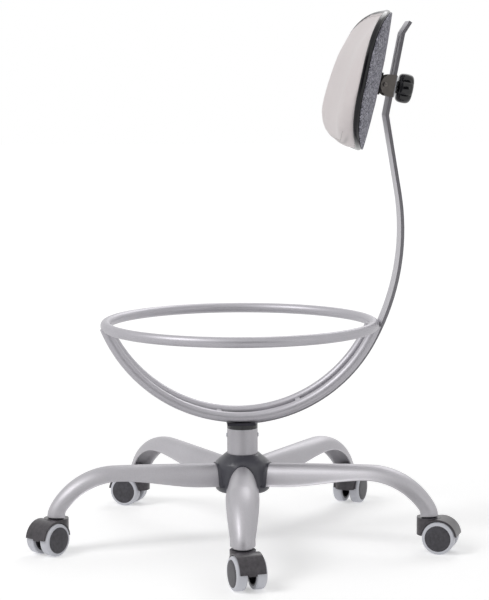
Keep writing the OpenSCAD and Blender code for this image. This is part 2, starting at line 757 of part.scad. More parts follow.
// Side outline of a flange, drawn in [y, z]
module flange_side() {
    translate([pivot_to_mast, -clamp_h / 2]) square([mast_t, clamp_h]);
    intersection() {
        translate([pivot_to_mast, 0]) circle(r = clamp_h / 2);
        translate([pivot_to_mast - clamp_h, -clamp_h / 2]) square([clamp_h + eps, clamp_h]);
    }
}

module clamp_bracket() {
    color(bracket_steel)
    at_clamp()
    difference() {
        union() {
            for (side = [-1, 1])
                translate([side * (flange_inner + flange_t / 2) - flange_t / 2, 0, 0])
                    rotate([90, 0, 90]) linear_extrude(flange_t) flange_side();
            translate([-flange_inner - eps, web_front, -clamp_h / 2])
                cube([flange_inner * 2 + 2 * eps, web_t, clamp_h]);
        }
        rotate([-90, 0, 0]) cylinder(r = screw_r + run_gap, h = pivot_to_mast + cut);
        rotate([0, 90, 0])
            cylinder(r = rivet_r + run_gap, h = flange_inner * 2 + flange_t * 4, center = true);
    }
}

module clamp_screw() {
    color(zinc)
    at_clamp() translate([0, web_front, 0]) {
        rotate([90, 0, 0]) cylinder(r1 = screw_head_r, r2 = screw_head_r * 0.7, h = screw_head_h);
        translate([0, -eps, 0]) rotate([-90, 0, 0])
            cylinder(r = screw_r, h = knob_from - web_front + knob_neck_h + knob_t * 0.6);
    }
}

module pressure_plate() {
    color(zinc)
    at_clamp()
    difference() {
        translate([-pressure_w / 2, pressure_from, -clamp_h / 2])
            cube([pressure_w, pressure_t, clamp_h]);
        rotate([-90, 0, 0]) cylinder(r = screw_r + run_gap, h = knob_from + cut);
    }
}

module tilt_rivets() {
    outer = flange_inner + flange_t;
    color(zinc)
    at_clamp()
    for (side = [0, 180])
        rotate([0, side, 0]) translate([outer, 0, 0]) rotate([0, 90, 0]) {
            translate([0, 0, -rivet_end]) cylinder(r = rivet_r, h = rivet_end + eps);
            cylinder(r1 = rivet_head_r, r2 = rivet_head_r * 0.6, h = rivet_head_h);
        }
}

knob_lobes = 6;
module clamp_knob() {
    lobe_r = knob_d * 0.17;
    edge = knob_t * 0.14;
    top_r = knob_d / 2;
    color("#222226")
    at_clamp() translate([0, knob_from, 0]) rotate([-90, 0, 0])
    difference() {
        union() {
            cylinder(r = knob_neck_r, h = knob_neck_h + eps);
            translate([0, 0, knob_neck_h]) intersection() {
                rotate_extrude() polygon([
                    [0, 0], [top_r - edge * 1.6, 0], [top_r - edge * 0.4, edge * 0.5],
                    [top_r, edge * 1.6], [top_r, knob_t - edge * 1.8],
                    [top_r - edge * 0.5, knob_t - edge * 0.6], [top_r - edge * 1.8, knob_t],
                    [0, knob_t]]);
                union() {
                    cylinder(r = top_r - lobe_r * 0.55, h = knob_t);
                    for (i = [0 : knob_lobes - 1])
                        rotate([0, 0, i * 360 / knob_lobes])
                            translate([top_r - lobe_r, 0, 0]) cylinder(r = lobe_r, h = knob_t);
                }
            }
        }
        translate([0, 0, -cut]) cylinder(r = screw_r + run_gap, h = knob_neck_h + knob_t * 0.62 + cut);
    }
}

// Backrest: grey panel, black shell and cushion, tilting on two rivets.
// Its own frame starts at the middle of the panel's rear face, +Y forward.
ear_outer = flange_inner - fit_gap;
pad_steps = 40;
outline_top_share = 0.6;
outline_low_share = 0.667;
ring_shares = [0.06, 0.4, 0.7, 0.88, 0.97];
ring_count = len(ring_shares);
shell_front = panel_t + shell_t;
shell_edge = shell_t * 0.16;
layer_inset = panel_t * 0.8;
pad_screw_r = pad_screw_d / 2;
pad_screw_x = ear_outer * 0.52;
pad_screw_z = clamp_h * 0.28;

module at_pad_hinge() {
    at_clamp() rotate([mast_back_lean - pad_lean, 0, 0]) children();
}

module at_pad() {
    at_pad_hinge() translate([0, -pivot_to_panel, pad_rise]) mirror([0, 1, 0]) children();
}

// A point of the backrest at u across, v up and n forward of the rear face
function pad_point(u, v, n) = [u, n + u * u / (2 * pad_wrap_r) + v * v / (2 * pad_bow_r), v];
// One ring of the outline at a share of its size, grown by grow
function pad_ring(share, n, grow) = [for (i = [0 : pad_steps - 1])
    let (t = 360 * i / pad_steps, p = sin(t) > 0 ? outline_top_share : outline_low_share,
         u = (pad_w / 2 + grow) * share * signed_pow(cos(t), p),
         v = (pad_h / 2 + grow) * share * signed_pow(sin(t), p))
    pad_point(u, v, n)];
function rings_out(n) = [for (i = [0 : ring_count - 1]) pad_ring(ring_shares[i], n, -layer_inset)];
function rings_in(n) = [for (i = [1 : ring_count]) pad_ring(ring_shares[ring_count - i], n, -layer_inset)];

module pad_screw_holes() {
    for (x = [-1, 1], z = [-1, 1])
        translate([x * pad_screw_x, -pivot_to_panel - pad_screw_reach - fit_gap, z * pad_screw_z])
            rotate([-90, 0, 0])
                cylinder(r = pad_screw_r + run_gap, h = pad_screw_reach + base_t + cut, $fn = 32);
}

module pad_panel() {
    color(fleck_grey)
    difference() {
        at_pad() skin(concat(rings_out(0), [pad_ring(1, panel_t * 0.5, -layer_inset)], rings_in(panel_t)),
            ring_count + 1);
        at_pad_hinge() pad_screw_holes();
    }
}

module pad_shell() {
    color(black_plastic)
    difference() {
        at_pad() skin(concat(
            rings_out(panel_t + run_gap),
            [pad_ring(1, panel_t + shell_edge * 0.4, -shell_edge)],
            [pad_ring(1, panel_t + shell_t * 0.3, 0)],
            [pad_ring(1, shell_front - shell_t * 0.3, 0)],
            [pad_ring(1, shell_front - shell_edge * 0.4, -shell_edge)],
            rings_in(shell_front)), ring_count + 4);
        at_pad_hinge() pad_screw_holes();
    }
}

// The cushion rises from the shell, its sides drawn in, with a seam around
// its border. It is fuller below than above, where its high share is 1.
border_shares = [0.97, 0.95];
seam_share = 0.94;
crown_shares = [0.93, 0.88, 0.8, 0.68, 0.52, 0.34, 0.12];
crown_fall_share = 0.1;
crown_power = 5.3;
crown_power_change = 4.4;
crown_ease = 1.05;
function crown_at(share, high) = cushion_crown * (1 - crown_fall_share * high)
    * pow(1 - pow(share, max(2, crown_power - crown_power_change * high)), crown_ease);
function crown_ring(share, from_share, drop, grow) =
    [for (p = pad_ring(share, shell_front - drop, grow))
        [p.x, p.y + crown_at(from_share, p.z / (pad_h / 2)), p.z]];

module pad_cushion() {
    color(leatherette)
    at_pad() skin(concat(
        rings_out(shell_front + run_gap),
        [pad_ring(1, shell_front + seam_depth * 0.3, -layer_inset * 1.2)],
        [crown_ring(1, 0.985, 0, -layer_inset * 0.9)],
        [for (s = border_shares) crown_ring(s, s, 0, 0)],
        [crown_ring(seam_share, seam_share, seam_depth, 0)],
        [for (s = crown_shares) crown_ring(s, s, 0, 0)]));
}

module ear_side() {
    circle(r = ear_r);
    translate([-pivot_to_panel + base_t / 2, -ear_r]) square([pivot_to_panel - base_t / 2, ear_r * 2]);
}

module pad_bracket() {
    color(bracket_steel)
    at_pad_hinge()
    difference() {
        union() {
            translate([-ear_outer, -pivot_to_panel, -clamp_h / 2]) cube([ear_outer * 2, base_t, clamp_h]);
            for (side = [-1, 1])
                translate([side * (ear_outer - base_t / 2) - base_t / 2, 0, 0])
                    rotate([90, 0, 90]) linear_extrude(base_t) ear_side();
        }
        rotate([0, 90, 0]) cylinder(r = rivet_r + run_gap, h = ear_outer * 2 + cut, center = true);
        pad_screw_holes();
    }
}

module pad_screws() {
    head_h = pad_screw_d * 0.36;
    color(zinc)
    at_pad_hinge()
    for (x = [-1, 1], z = [-1, 1])
        translate([x * pad_screw_x, base_t - pivot_to_panel, z * pad_screw_z]) rotate([-90, 0, 0]) {
            translate([0, 0, -pad_screw_reach - base_t])
                cylinder(r = pad_screw_r, h = pad_screw_reach + base_t + eps);
            cylinder(r1 = pad_screw_r * 1.8, r2 = pad_screw_r * 1.2, h = head_h);
        }
}

arm(0);  // arm_1
arm(1);  // arm_2
arm(2);  // arm_3
arm(3);  // arm_4
arm(4);  // arm_5
hub_cover();
column_tubes();
swivel_bushes();
bush_screws();
stem_sockets();
caster_stems();
caster_body(0);  // caster_1_body
caster_axle(0);  // caster_1_axle
wheel(0, 1);  // caster_1_wheel_a
wheel(0, -1);  // caster_1_wheel_b
tyre(0, 1);  // caster_1_tyre_a
tyre(0, -1);  // caster_1_tyre_b
caster_body(1);  // caster_2_body
caster_axle(1);  // caster_2_axle
wheel(1, 1);  // caster_2_wheel_a
wheel(1, -1);  // caster_2_wheel_b
tyre(1, 1);  // caster_2_tyre_a
tyre(1, -1);  // caster_2_tyre_b
caster_body(2);  // caster_3_body
caster_axle(2);  // caster_3_axle
wheel(2, 1);  // caster_3_wheel_a
wheel(2, -1);  // caster_3_wheel_b
tyre(2, 1);  // caster_3_tyre_a
tyre(2, -1);  // caster_3_tyre_b
caster_body(3);  // caster_4_body
caster_axle(3);  // caster_4_axle
wheel(3, 1);  // caster_4_wheel_a
wheel(3, -1);  // caster_4_wheel_b
tyre(3, 1);  // caster_4_tyre_a
tyre(3, -1);  // caster_4_tyre_b
caster_body(4);  // caster_5_body
caster_axle(4);  // caster_5_axle
wheel(4, 1);  // caster_5_wheel_a
wheel(4, -1);  // caster_5_wheel_b
tyre(4, 1);  // caster_5_tyre_a
tyre(4, -1);  // caster_5_tyre_b
swivel_post();
post_retainer();
seat_plate();
cradle_tube(1);  // cradle_tube_left
cradle_tube(-1);  // cradle_tube_right
cradle_ties();
seat_ring();
mast();
mast_tip();
clamp_bracket();
clamp_screw();
pressure_plate();
tilt_rivets();
clamp_knob();
pad_bracket();
pad_screws();
pad_panel();
pad_shell();
pad_cushion();
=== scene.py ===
import json
from math import asin, atan2, cos, exp, pi, radians, sin, sqrt

import bmesh
import bpy
from mathutils import Matrix, Vector
from mathutils.bvhtree import BVHTree


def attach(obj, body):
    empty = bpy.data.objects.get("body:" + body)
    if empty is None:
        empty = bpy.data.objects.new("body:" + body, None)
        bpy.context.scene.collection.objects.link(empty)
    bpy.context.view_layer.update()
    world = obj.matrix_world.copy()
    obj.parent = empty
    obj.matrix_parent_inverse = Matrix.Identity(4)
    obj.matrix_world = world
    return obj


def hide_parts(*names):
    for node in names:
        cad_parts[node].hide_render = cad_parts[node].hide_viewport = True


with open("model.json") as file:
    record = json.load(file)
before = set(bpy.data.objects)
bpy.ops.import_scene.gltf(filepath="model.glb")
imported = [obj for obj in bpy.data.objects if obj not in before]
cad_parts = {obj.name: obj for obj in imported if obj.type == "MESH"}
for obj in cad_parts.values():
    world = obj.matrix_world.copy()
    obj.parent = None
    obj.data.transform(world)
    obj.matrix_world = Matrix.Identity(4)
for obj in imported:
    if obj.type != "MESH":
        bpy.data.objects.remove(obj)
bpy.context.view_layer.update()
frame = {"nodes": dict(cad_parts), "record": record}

# Five-star base: five channel arms pressed from 2.5 mm steel sheet, open
# below, welded to the hub tube and coated in a fine silver powder
ARM_COUNT = 5
FIRST_ARM_ANGLE = -3.2
STEM_CIRCLE_R = 300.0
ARM_CREST_Z = 128.5
ARM_TOE_Z = 56.0
ARM_HUB_DROP = 7.5
ARM_BEND_R = 115.0
ARM_BEND_ANGLE = radians(56)
ARM_HUB_W, ARM_MID_W, ARM_TOE_W = 31.0, 50.0, 37.0
ARM_HUB_DEPTH, ARM_BEND_DEPTH, ARM_TOE_DEPTH = 33.0, 20.0, 23.0
ARM_WALL = 2.5
ARM_START_R, HUB_TUBE_R, HUB_COVER_R = 20.0, 28.0, 44.5
ARM_TOE_R = STEM_CIRCLE_R + ARM_TOE_DEPTH * 0.58
ARM_HEEL_R = ARM_TOE_R - ARM_TOE_DEPTH
ARM_TOE_ROUND = ARM_TOE_DEPTH * 0.35
ARM_BEND_START_R = ARM_TOE_R - ARM_TOE_ROUND - ARM_BEND_R * sin(ARM_BEND_ANGLE)
ARM_SLIM_FROM_R = ARM_BEND_START_R * 0.34
ARM_FLARE_R = HUB_COVER_R * 1.35
ARM_CREST_EASE, ARM_TAPER_EASE, ARM_STEP_EASE = 1.2, 2.2, 1.2
ARM_TOP_STEPS, ARM_BEND_STEPS, ARM_TOE_STEPS = 36, 30, 10
TOE_PLATE_T, ARM_EDGE_ROUND = 3.0, 0.7
# Half an arch of the channel, from rim to crown, as shares of half width and depth
ARCH = [(1, 0), (0.92, 0.09), (0.82, 0.37), (0.7, 0.63), (0.55, 0.8), (0.34, 0.94), (0.12, 1)]
ARCH_STEPS = 3
MM = 0.001


def linear(code):
    """A #rrggbb colour as linear red, green, blue and alpha."""
    parts = [int(code[i:i + 2], 16) / 255 for i in (1, 3, 5)]
    return [c / 12.92 if c <= 0.04045 else ((c + 0.055) / 1.055) ** 2.4 for c in parts] + [1.0]


def add(tree, kind, inputs=None, **properties):
    """Adds a node: its properties first, then each input as a link or a plain value."""
    new = tree.nodes.new(kind)
    for name, value in properties.items():
        setattr(new, name, value)
    for key, value in (inputs or {}).items():
        if isinstance(value, bpy.types.NodeSocket):
            tree.links.new(value, new.inputs[key])
        else:
            new.inputs[key].default_value = value
    return new


def new_finish(name):
    """An empty material with its tree, its surface shader and the object's own coordinates."""
    material = bpy.data.materials.new(name)
    material.use_nodes = True
    tree = material.node_tree
    tree.nodes.clear()
    shader = add(tree, "ShaderNodeBsdfPrincipled")
    add(tree, "ShaderNodeOutputMaterial", {"Surface": shader.outputs["BSDF"]})
    return material, tree, shader, add(tree, "ShaderNodeTexCoord").outputs["Object"]


def silver_powder_coat(name, light, dark, roughness):
    # Silver powder coat on steel: a pale grey with aluminium flake. The flake is
    # really under 0.1 mm and is drawn at 0.9 mm to show. Orange peel is 2.5 mm.
    material, tree, shader, place = new_finish(name)
    cloudy = add(tree, "ShaderNodeTexNoise", {"Vector": place, "Scale": 1 / 0.06, "Detail": 3.0})
    flake = add(tree, "ShaderNodeTexVoronoi", {"Vector": place, "Scale": 1 / 0.0009})
    spark = add(tree, "ShaderNodeSeparateColor", {"Color": flake.outputs["Color"]})
    share = add(tree, "ShaderNodeMath", {0: spark.outputs["Red"], 1: 0.35}, operation="MULTIPLY")
    both = add(tree, "ShaderNodeMath", {0: cloudy.outputs["Fac"], 1: 0.65, 2: share.outputs[0]},
               operation="MULTIPLY_ADD")
    tone = add(tree, "ShaderNodeMix", {0: both.outputs[0], 6: linear(dark), 7: linear(light)},
               data_type="RGBA")
    tree.links.new(tone.outputs[2], shader.inputs["Base Color"])
    gloss = add(tree, "ShaderNodeMapRange", {"Value": cloudy.outputs["Fac"],
                "To Min": roughness - 0.05, "To Max": roughness + 0.05})
    tree.links.new(gloss.outputs[0], shader.inputs["Roughness"])
    peel = add(tree, "ShaderNodeTexNoise", {"Vector": place, "Scale": 1 / 0.0025, "Detail": 2.0})
    bump = add(tree, "ShaderNodeBump", {"Height": peel.outputs["Fac"], "Strength": 0.12,
                                        "Distance": 0.0002})
    tree.links.new(bump.outputs["Normal"], shader.inputs["Normal"])
    shader.inputs["Metallic"].default_value = 0.65
    shader.inputs["Coat Weight"].default_value = 0.08
    shader.inputs["Coat Roughness"].default_value = 0.35
    return material


base_silver_coat = silver_powder_coat("silver_powder_coat_base", "#C3C1C5", "#B0AEB3", 0.48)


def through(points, steps):
    """More points on a smooth line through the given ones."""
    line = []
    last = len(points) - 1
    for i in range(last):
        a, b, c, d = (Vector(points[max(0, min(last, i + k))]) for k in (-1, 0, 1, 2))
        for s in range(steps):
            t = s / steps
            line.append(0.5 * (2 * b + (c - a) * t + (2 * a - 5 * b + 4 * c - d) * t * t
                               + (3 * b - a - 3 * c + d) * t ** 3))
    return line + [Vector(points[-1])]


def placed(name, data):
    """A new object with this data, put into the scene."""
    piece = bpy.data.objects.new(name, data)
    bpy.context.scene.collection.objects.link(piece)
    return piece


def mesh_piece(name, points, faces, material, smooth_below=40):
    """A mesh object from points in millimetres, smooth where its faces meet below that angle."""
    mesh = bpy.data.meshes.new(name)
    mesh.from_pydata([[c * MM for c in p] for p in points], [], faces)
    work = bmesh.new()
    work.from_mesh(mesh)
    bmesh.ops.recalc_face_normals(work, faces=work.faces)
    work.to_mesh(mesh)
    work.free()
    mesh.shade_smooth()
    mesh.set_sharp_from_angle(angle=radians(smooth_below))
    mesh.materials.append(material)
    return placed(name, mesh)


def soften(piece, width, above):
    """Breaks the edges sharper than an angle by a small radius in millimetres."""
    bevel = piece.modifiers.new("broken_edges", "BEVEL")
    bevel.width = width * MM
    bevel.segments = 2
    bevel.limit_method = "ANGLE"
    bevel.angle_limit = radians(above)
    bevel.harden_normals = False


def arm_top(r):
    """Height of the arm's crown, level at the bend and lower towards the hub."""
    inward = (ARM_BEND_START_R - r) / (ARM_BEND_START_R - HUB_TUBE_R)
    return ARM_CREST_Z - ARM_HUB_DROP * inward ** ARM_CREST_EASE


def arm_depth(r):
    """Depth of the channel, slimming from the hub to the bend."""
    share = min(1, max(0, (r - ARM_SLIM_FROM_R) / (ARM_BEND_START_R - ARM_SLIM_FROM_R)))
    return ARM_HUB_DEPTH - (ARM_HUB_DEPTH - ARM_BEND_DEPTH) * share * share * (3 - 2 * share)


def arm_width(r):
    """Width of the channel, which flares out from under the hub cover."""
    share = (r - ARM_START_R) / (ARM_FLARE_R - ARM_START_R)
    return ARM_HUB_W + (ARM_MID_W - ARM_HUB_W) * sqrt(min(1, share))


def arm_stations():
    """Crown point, open-side point and width along an arm, as (radius, height) pairs."""
    stations = []
    first_r = HUB_TUBE_R - 1
    for i in range(ARM_TOP_STEPS):
        r = first_r + (ARM_BEND_START_R - first_r) * (i / ARM_TOP_STEPS) ** ARM_STEP_EASE
        top = arm_top(r)
        stations.append((Vector((r, top)), Vector((r, top - arm_depth(r))), arm_width(r)))
    centre = Vector((ARM_BEND_START_R, ARM_CREST_Z - ARM_BEND_R))
    for i in range(ARM_BEND_STEPS + 1):
        a = ARM_BEND_ANGLE * i / ARM_BEND_STEPS
        way = Vector((sin(a), cos(a)))
        width = ARM_MID_W - (ARM_MID_W - ARM_TOE_W) * (i / ARM_BEND_STEPS) ** ARM_TAPER_EASE
        inner_r = ARM_BEND_R - ARM_BEND_DEPTH
        stations.append((centre + ARM_BEND_R * way, centre + inner_r * way, width))
    crown, open_side, width = stations[-1]
    leave = Vector((cos(ARM_BEND_ANGLE), -sin(ARM_BEND_ANGLE)))
    ends = (crown, Vector((ARM_TOE_R, ARM_TOE_Z))), (open_side, Vector((ARM_HEEL_R, ARM_TOE_Z)))
    for i in range(1, ARM_TOE_STEPS + 1):
        t = i / ARM_TOE_STEPS
        pair = []
        for start, end in ends:
            reach = (end - start).length
            pair.append((2 * t ** 3 - 3 * t * t + 1) * start
                        + (t ** 3 - 2 * t * t + t) * reach * leave
                        + (3 * t * t - 2 * t ** 3) * end
                        + (t ** 3 - t * t) * reach * Vector((0, -1)))
        stations.append((pair[0], pair[1], width))
    return stations


def arch_ring(station, inset, shares):
    """The channel's arch at one station, as points inset from its outer face."""
    crown, open_side, width = station
    up = crown - open_side
    depth = up.length
    up = up / depth
    ring = []
    for across, high in shares:
        at = open_side + up * (high * (depth - inset))
        ring.append((at.x, across * (width / 2 - inset), at.y))
    return ring


arch_line = through([(x, y, 0) for x, y in ARCH] + [(-x, y, 0) for x, y in reversed(ARCH)],
                    ARCH_STEPS)
arch_shares = [(p.x, p.y) for p in arch_line]
stations = arm_stations()
arm_size = len(arch_shares)
arm_points, arm_faces = [], []
for index, station in enumerate(stations):
    inner = station
    # The last inner ring is lifted by the plate that closes the toe
    if index == len(stations) - 1:
        lift = Vector((0, TOE_PLATE_T))
        inner = (station[0] + lift, station[1] + lift, station[2])
    arm_points += arch_ring(station, 0, arch_shares) + arch_ring(inner, ARM_WALL, arch_shares)
for i in range(len(stations) - 1):
    a, b = i * 2 * arm_size, (i + 1) * 2 * arm_size
    for j in range(arm_size - 1):
        arm_faces.append((a + j, a + j + 1, b + j + 1, b + j))
        arm_faces.append((a + arm_size + j, b + arm_size + j, b + arm_size + j + 1,
                          a + arm_size + j + 1))
    for j in (0, arm_size - 1):
        arm_faces.append((a + j, b + j, b + arm_size + j, a + arm_size + j))
for j in range(arm_size - 1):
    arm_faces.append((j, arm_size + j, arm_size + j + 1, j + 1))
toe = (len(stations) - 1) * 2 * arm_size
arm_faces.append(tuple(toe + j for j in range(arm_size)))
arm_faces.append(tuple(toe + arm_size + j for j in range(arm_size)))
arm_faces.append((toe, toe + arm_size - 1, toe + 2 * arm_size - 1, toe + arm_size))
for index in range(ARM_COUNT):
    turn = Matrix.Rotation(radians(FIRST_ARM_ANGLE + 360 / ARM_COUNT * index), 3, "Z")
    arm = mesh_piece(f"arm_pressing_{index + 1}", [turn @ Vector(p) for p in arm_points],
                     arm_faces, base_silver_coat)
    soften(arm, ARM_EDGE_ROUND, above=50)
    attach(arm, "base")
    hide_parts(f"arm_{index + 1}")

# Hub and column: a steel hub tube with the column tube pressed into it, both in
# the silver coat, and the black cover of moulded polypropylene over the welds
body_with = {node: body for body, nodes in frame["record"]["behaviour"]["bodies"].items()
             for node in nodes}


def finished_copy(nodes, material, edge=0.0, smooth_below=35, above=35):
    """One merged, smooth-shaded piece from CAD nodes, its sharp edges broken, in their place."""
    nodes = nodes.split()
    work = bmesh.new()
    for node in nodes:
        work.from_mesh(frame["nodes"][node].data)
    bmesh.ops.remove_doubles(work, verts=work.verts, dist=0.002 * MM)
    if len(nodes) > 1:
        # Where two nodes meet, the faces between them go
        seam = {v for e in work.edges if len(e.link_faces) > 2 for v in e.verts}
        between = [f for f in work.faces if all(v in seam for v in f.verts)]
        bmesh.ops.delete(work, geom=between, context="FACES")
    bmesh.ops.dissolve_limit(work, angle_limit=radians(0.6), verts=work.verts, edges=work.edges)
    mesh = bpy.data.meshes.new(nodes[0] + "_finished")
    work.to_mesh(mesh)
    work.free()
    mesh.materials.append(material)
    mesh.shade_smooth()
    mesh.set_sharp_from_angle(angle=radians(smooth_below))
    piece = placed(mesh.name, mesh)
    for face in mesh.polygons:
        face.material_index = 0
    if edge:
        soften(piece, edge, above)
    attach(piece, body_with[nodes[0]])
    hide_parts(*nodes)
    return piece


def moulded_plastic(name, light, dark, roughness, grain, depth, cloud=30.0):
    # Moulded plastic: clouding from the mould or from wear and a fine
    # spark-eroded grain, the spacing of both given in millimetres
    material, tree, shader, place = new_finish(name)
    cloudy = add(tree, "ShaderNodeTexNoise", {"Vector": place, "Scale": 1000 / cloud,
                                              "Detail": 4.0})
    tone = add(tree, "ShaderNodeMix", {0: cloudy.outputs["Fac"], 6: linear(dark), 7: linear(light)},
               data_type="RGBA")
    tree.links.new(tone.outputs[2], shader.inputs["Base Color"])
    texture = add(tree, "ShaderNodeTexNoise", {"Vector": place, "Scale": 1000 / grain,
                                               "Detail": 3.0, "Roughness": 0.6})
    gloss = add(tree, "ShaderNodeMapRange", {"Value": texture.outputs["Fac"],
                "To Min": roughness - 0.06, "To Max": roughness + 0.06})
    tree.links.new(gloss.outputs[0], shader.inputs["Roughness"])
    bump = add(tree, "ShaderNodeBump", {"Height": texture.outputs["Fac"], "Strength": 0.35,
                                        "Distance": depth * MM})
    tree.links.new(bump.outputs["Normal"], shader.inputs["Normal"])
    return material


hub_polypropylene = moulded_plastic("black_polypropylene_hub", "#505058", "#404047", 0.33, 1.6, 0.1)
finished_copy("hub_cover", hub_polypropylene, 0.5, smooth_below=42, above=45)
finished_copy("column_tubes", base_silver_coat, 0.5)

# Swivel bushes: black acetal rings pressed into the column, the upper one
# showing as the collar that the seat turns on, each held by a zinc-plated screw
collar_acetal = moulded_plastic("black_acetal_collar", "#2C2C30", "#222225", 0.24, 1.2, 0.04)
finished_copy("swivel_bushes", collar_acetal, 0.6)


def plated_steel(name, light, dark, roughness):
    # Zinc-plated steel: bright and slightly milky, with drifting patches of tone
    # and fine drawn lines, really 0.1 mm apart and drawn at 0.7 mm to show
    material, tree, shader, place = new_finish(name)
    drift = add(tree, "ShaderNodeTexNoise", {"Vector": place, "Scale": 1 / 0.008, "Detail": 4.0})
    tone = add(tree, "ShaderNodeMix", {0: drift.outputs["Fac"], 6: linear(dark), 7: linear(light)},
               data_type="RGBA")
    tree.links.new(tone.outputs[2], shader.inputs["Base Color"])
    lines = add(tree, "ShaderNodeTexNoise", {"Vector": place, "Scale": 1 / 0.0007, "Detail": 2.0})
    gloss = add(tree, "ShaderNodeMapRange", {"Value": lines.outputs["Fac"],
                "To Min": roughness - 0.07, "To Max": roughness + 0.07})
    tree.links.new(gloss.outputs[0], shader.inputs["Roughness"])
    bump = add(tree, "ShaderNodeBump", {"Height": lines.outputs["Fac"], "Strength": 0.1,
                                        "Distance": 0.0001})
    tree.links.new(bump.outputs["Normal"], shader.inputs["Normal"])
    shader.inputs["Metallic"].default_value = 1.0
    return material


zinc_plate = plated_steel("zinc_plated_steel", "#D4D6DA", "#B2B4BA", 0.3)
finished_copy("bush_screws", zinc_plate, 0.2)

# Casters: twin wheels of grey-black nylon under a moulded hood, with soft pale
# polyurethane treads, on plated stems that plug into sockets in the arms
caster_nylon = moulded_plastic("grey_black_nylon_hood", "#565157", "#18161A", 0.3, 2.4, 0.16, 6.0)
wheel_nylon = moulded_plastic("grey_nylon_wheel", "#525057", "#201F23", 0.44, 2.0, 0.14, 5.0)
tread_polyurethane = moulded_plastic("pale_grey_polyurethane_tread", "#D8D9E0", "#CCCDD4",
                                     0.5, 2.0, 0.05)
finished_copy("stem_sockets", hub_polypropylene, 0.4)
finished_copy("caster_stems", zinc_plate, 0.3)
for index in range(1, ARM_COUNT + 1):
    finished_copy(f"caster_{index}_body", caster_nylon, 1.2, smooth_below=30, above=40)
    finished_copy(f"caster_{index}_axle", zinc_plate, 0.3)
    for side in "ab":
        finished_copy(f"caster_{index}_wheel_{side}", wheel_nylon, 0.4, smooth_below=30, above=50)
        finished_copy(f"caster_{index}_tyre_{side}", tread_polyurethane, smooth_below=40)

# Seat ring and bows: 16 mm steel tube under the fine silver coat. The ring is
# rolled and closed, and the bows are bent to hold the ball and coped to the ring.
TUBE_R, TUBE_SIDES = 8.0, 40
RING_R, RING_Z, SEAT_SHIFT, RING_STEPS = 209.0, 339.7, -3.4, 200
BOW_R, BOW_LOW_Z, BOW_X, BOW_STEPS = 226.0, 197.4, 30.0, 120
frame_silver_coat = silver_powder_coat("silver_powder_coat_frame", "#C0BEC3", "#ACAAB0", 0.44)


def lofted(name, rings, material, smooth_below=40, loop=False):
    """A skin over rings of points, its two ends closed unless it runs round in a loop."""
    count, size = len(rings), len(rings[0])
    faces = []
    if not loop:
        faces += [tuple(range(size)), tuple((count - 1) * size + k for k in range(size))]
    for i in range(count if loop else count - 1):
        a, b = i * size, (i + 1) % count * size
        faces += [(a + k, a + (k + 1) % size, b + (k + 1) % size, b + k) for k in range(size)]
    points = [p for ring in rings for p in ring]
    return mesh_piece(name, points, faces, material, smooth_below)


def tube(name, path, loop=False):
    """A round silver tube along a path of points in millimetres."""
    rings = []
    count = len(path)
    across = None
    for i, p in enumerate(path):
        before = path[(i - 1) % count] if loop or i else p
        after = path[(i + 1) % count] if loop or i < count - 1 else p
        way = (after - before).normalized()
        if across is None:
            across = way.orthogonal().normalized()
        across = (across - way * across.dot(way)).normalized()
        rise = way.cross(across)
        turns = [2 * pi * k / TUBE_SIDES for k in range(TUBE_SIDES)]
        rings.append([p + TUBE_R * (cos(t) * across + sin(t) * rise) for t in turns])
    return lofted(name, rings, frame_silver_coat, loop=loop)


ring_path = [Vector((RING_R * cos(a), SEAT_SHIFT + RING_R * sin(a), RING_Z))
             for a in (2 * pi * i / RING_STEPS for i in range(RING_STEPS))]
seat_ring = tube("seat_ring_tube", ring_path, loop=True)
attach(seat_ring, "seat")
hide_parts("seat_ring")
bow_centre = Vector((0, SEAT_SHIFT, BOW_LOW_Z + BOW_R))
bow_end = asin((bow_centre.z - RING_Z) / BOW_R)
for side, node in ((-1, "cradle_tube_left"), (1, "cradle_tube_right")):
    path = []
    for i in range(BOW_STEPS + 1):
        a = pi + bow_end + (pi - 2 * bow_end) * i / BOW_STEPS
        path.append(bow_centre + Vector((side * BOW_X, BOW_R * cos(a), BOW_R * sin(a))))
    bow = tube(node + "_bow", path)
    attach(bow, "seat")
    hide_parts(node)

# Welds: short overlapping beads run by hand where the bows' ends meet the ring,
# under the same silver coat as the tubes
WELD_SPACING, WELD_LENGTH, WELD_W, WELD_UNEVENNESS, WELD_SEED = 1.7, 3.8, 3.2, 0.12, 7
WELD_TURN_STEPS, WELD_REACH_STEPS = 48, 120
WELD_FROM, WELD_SPAN = 0.7, 0.3


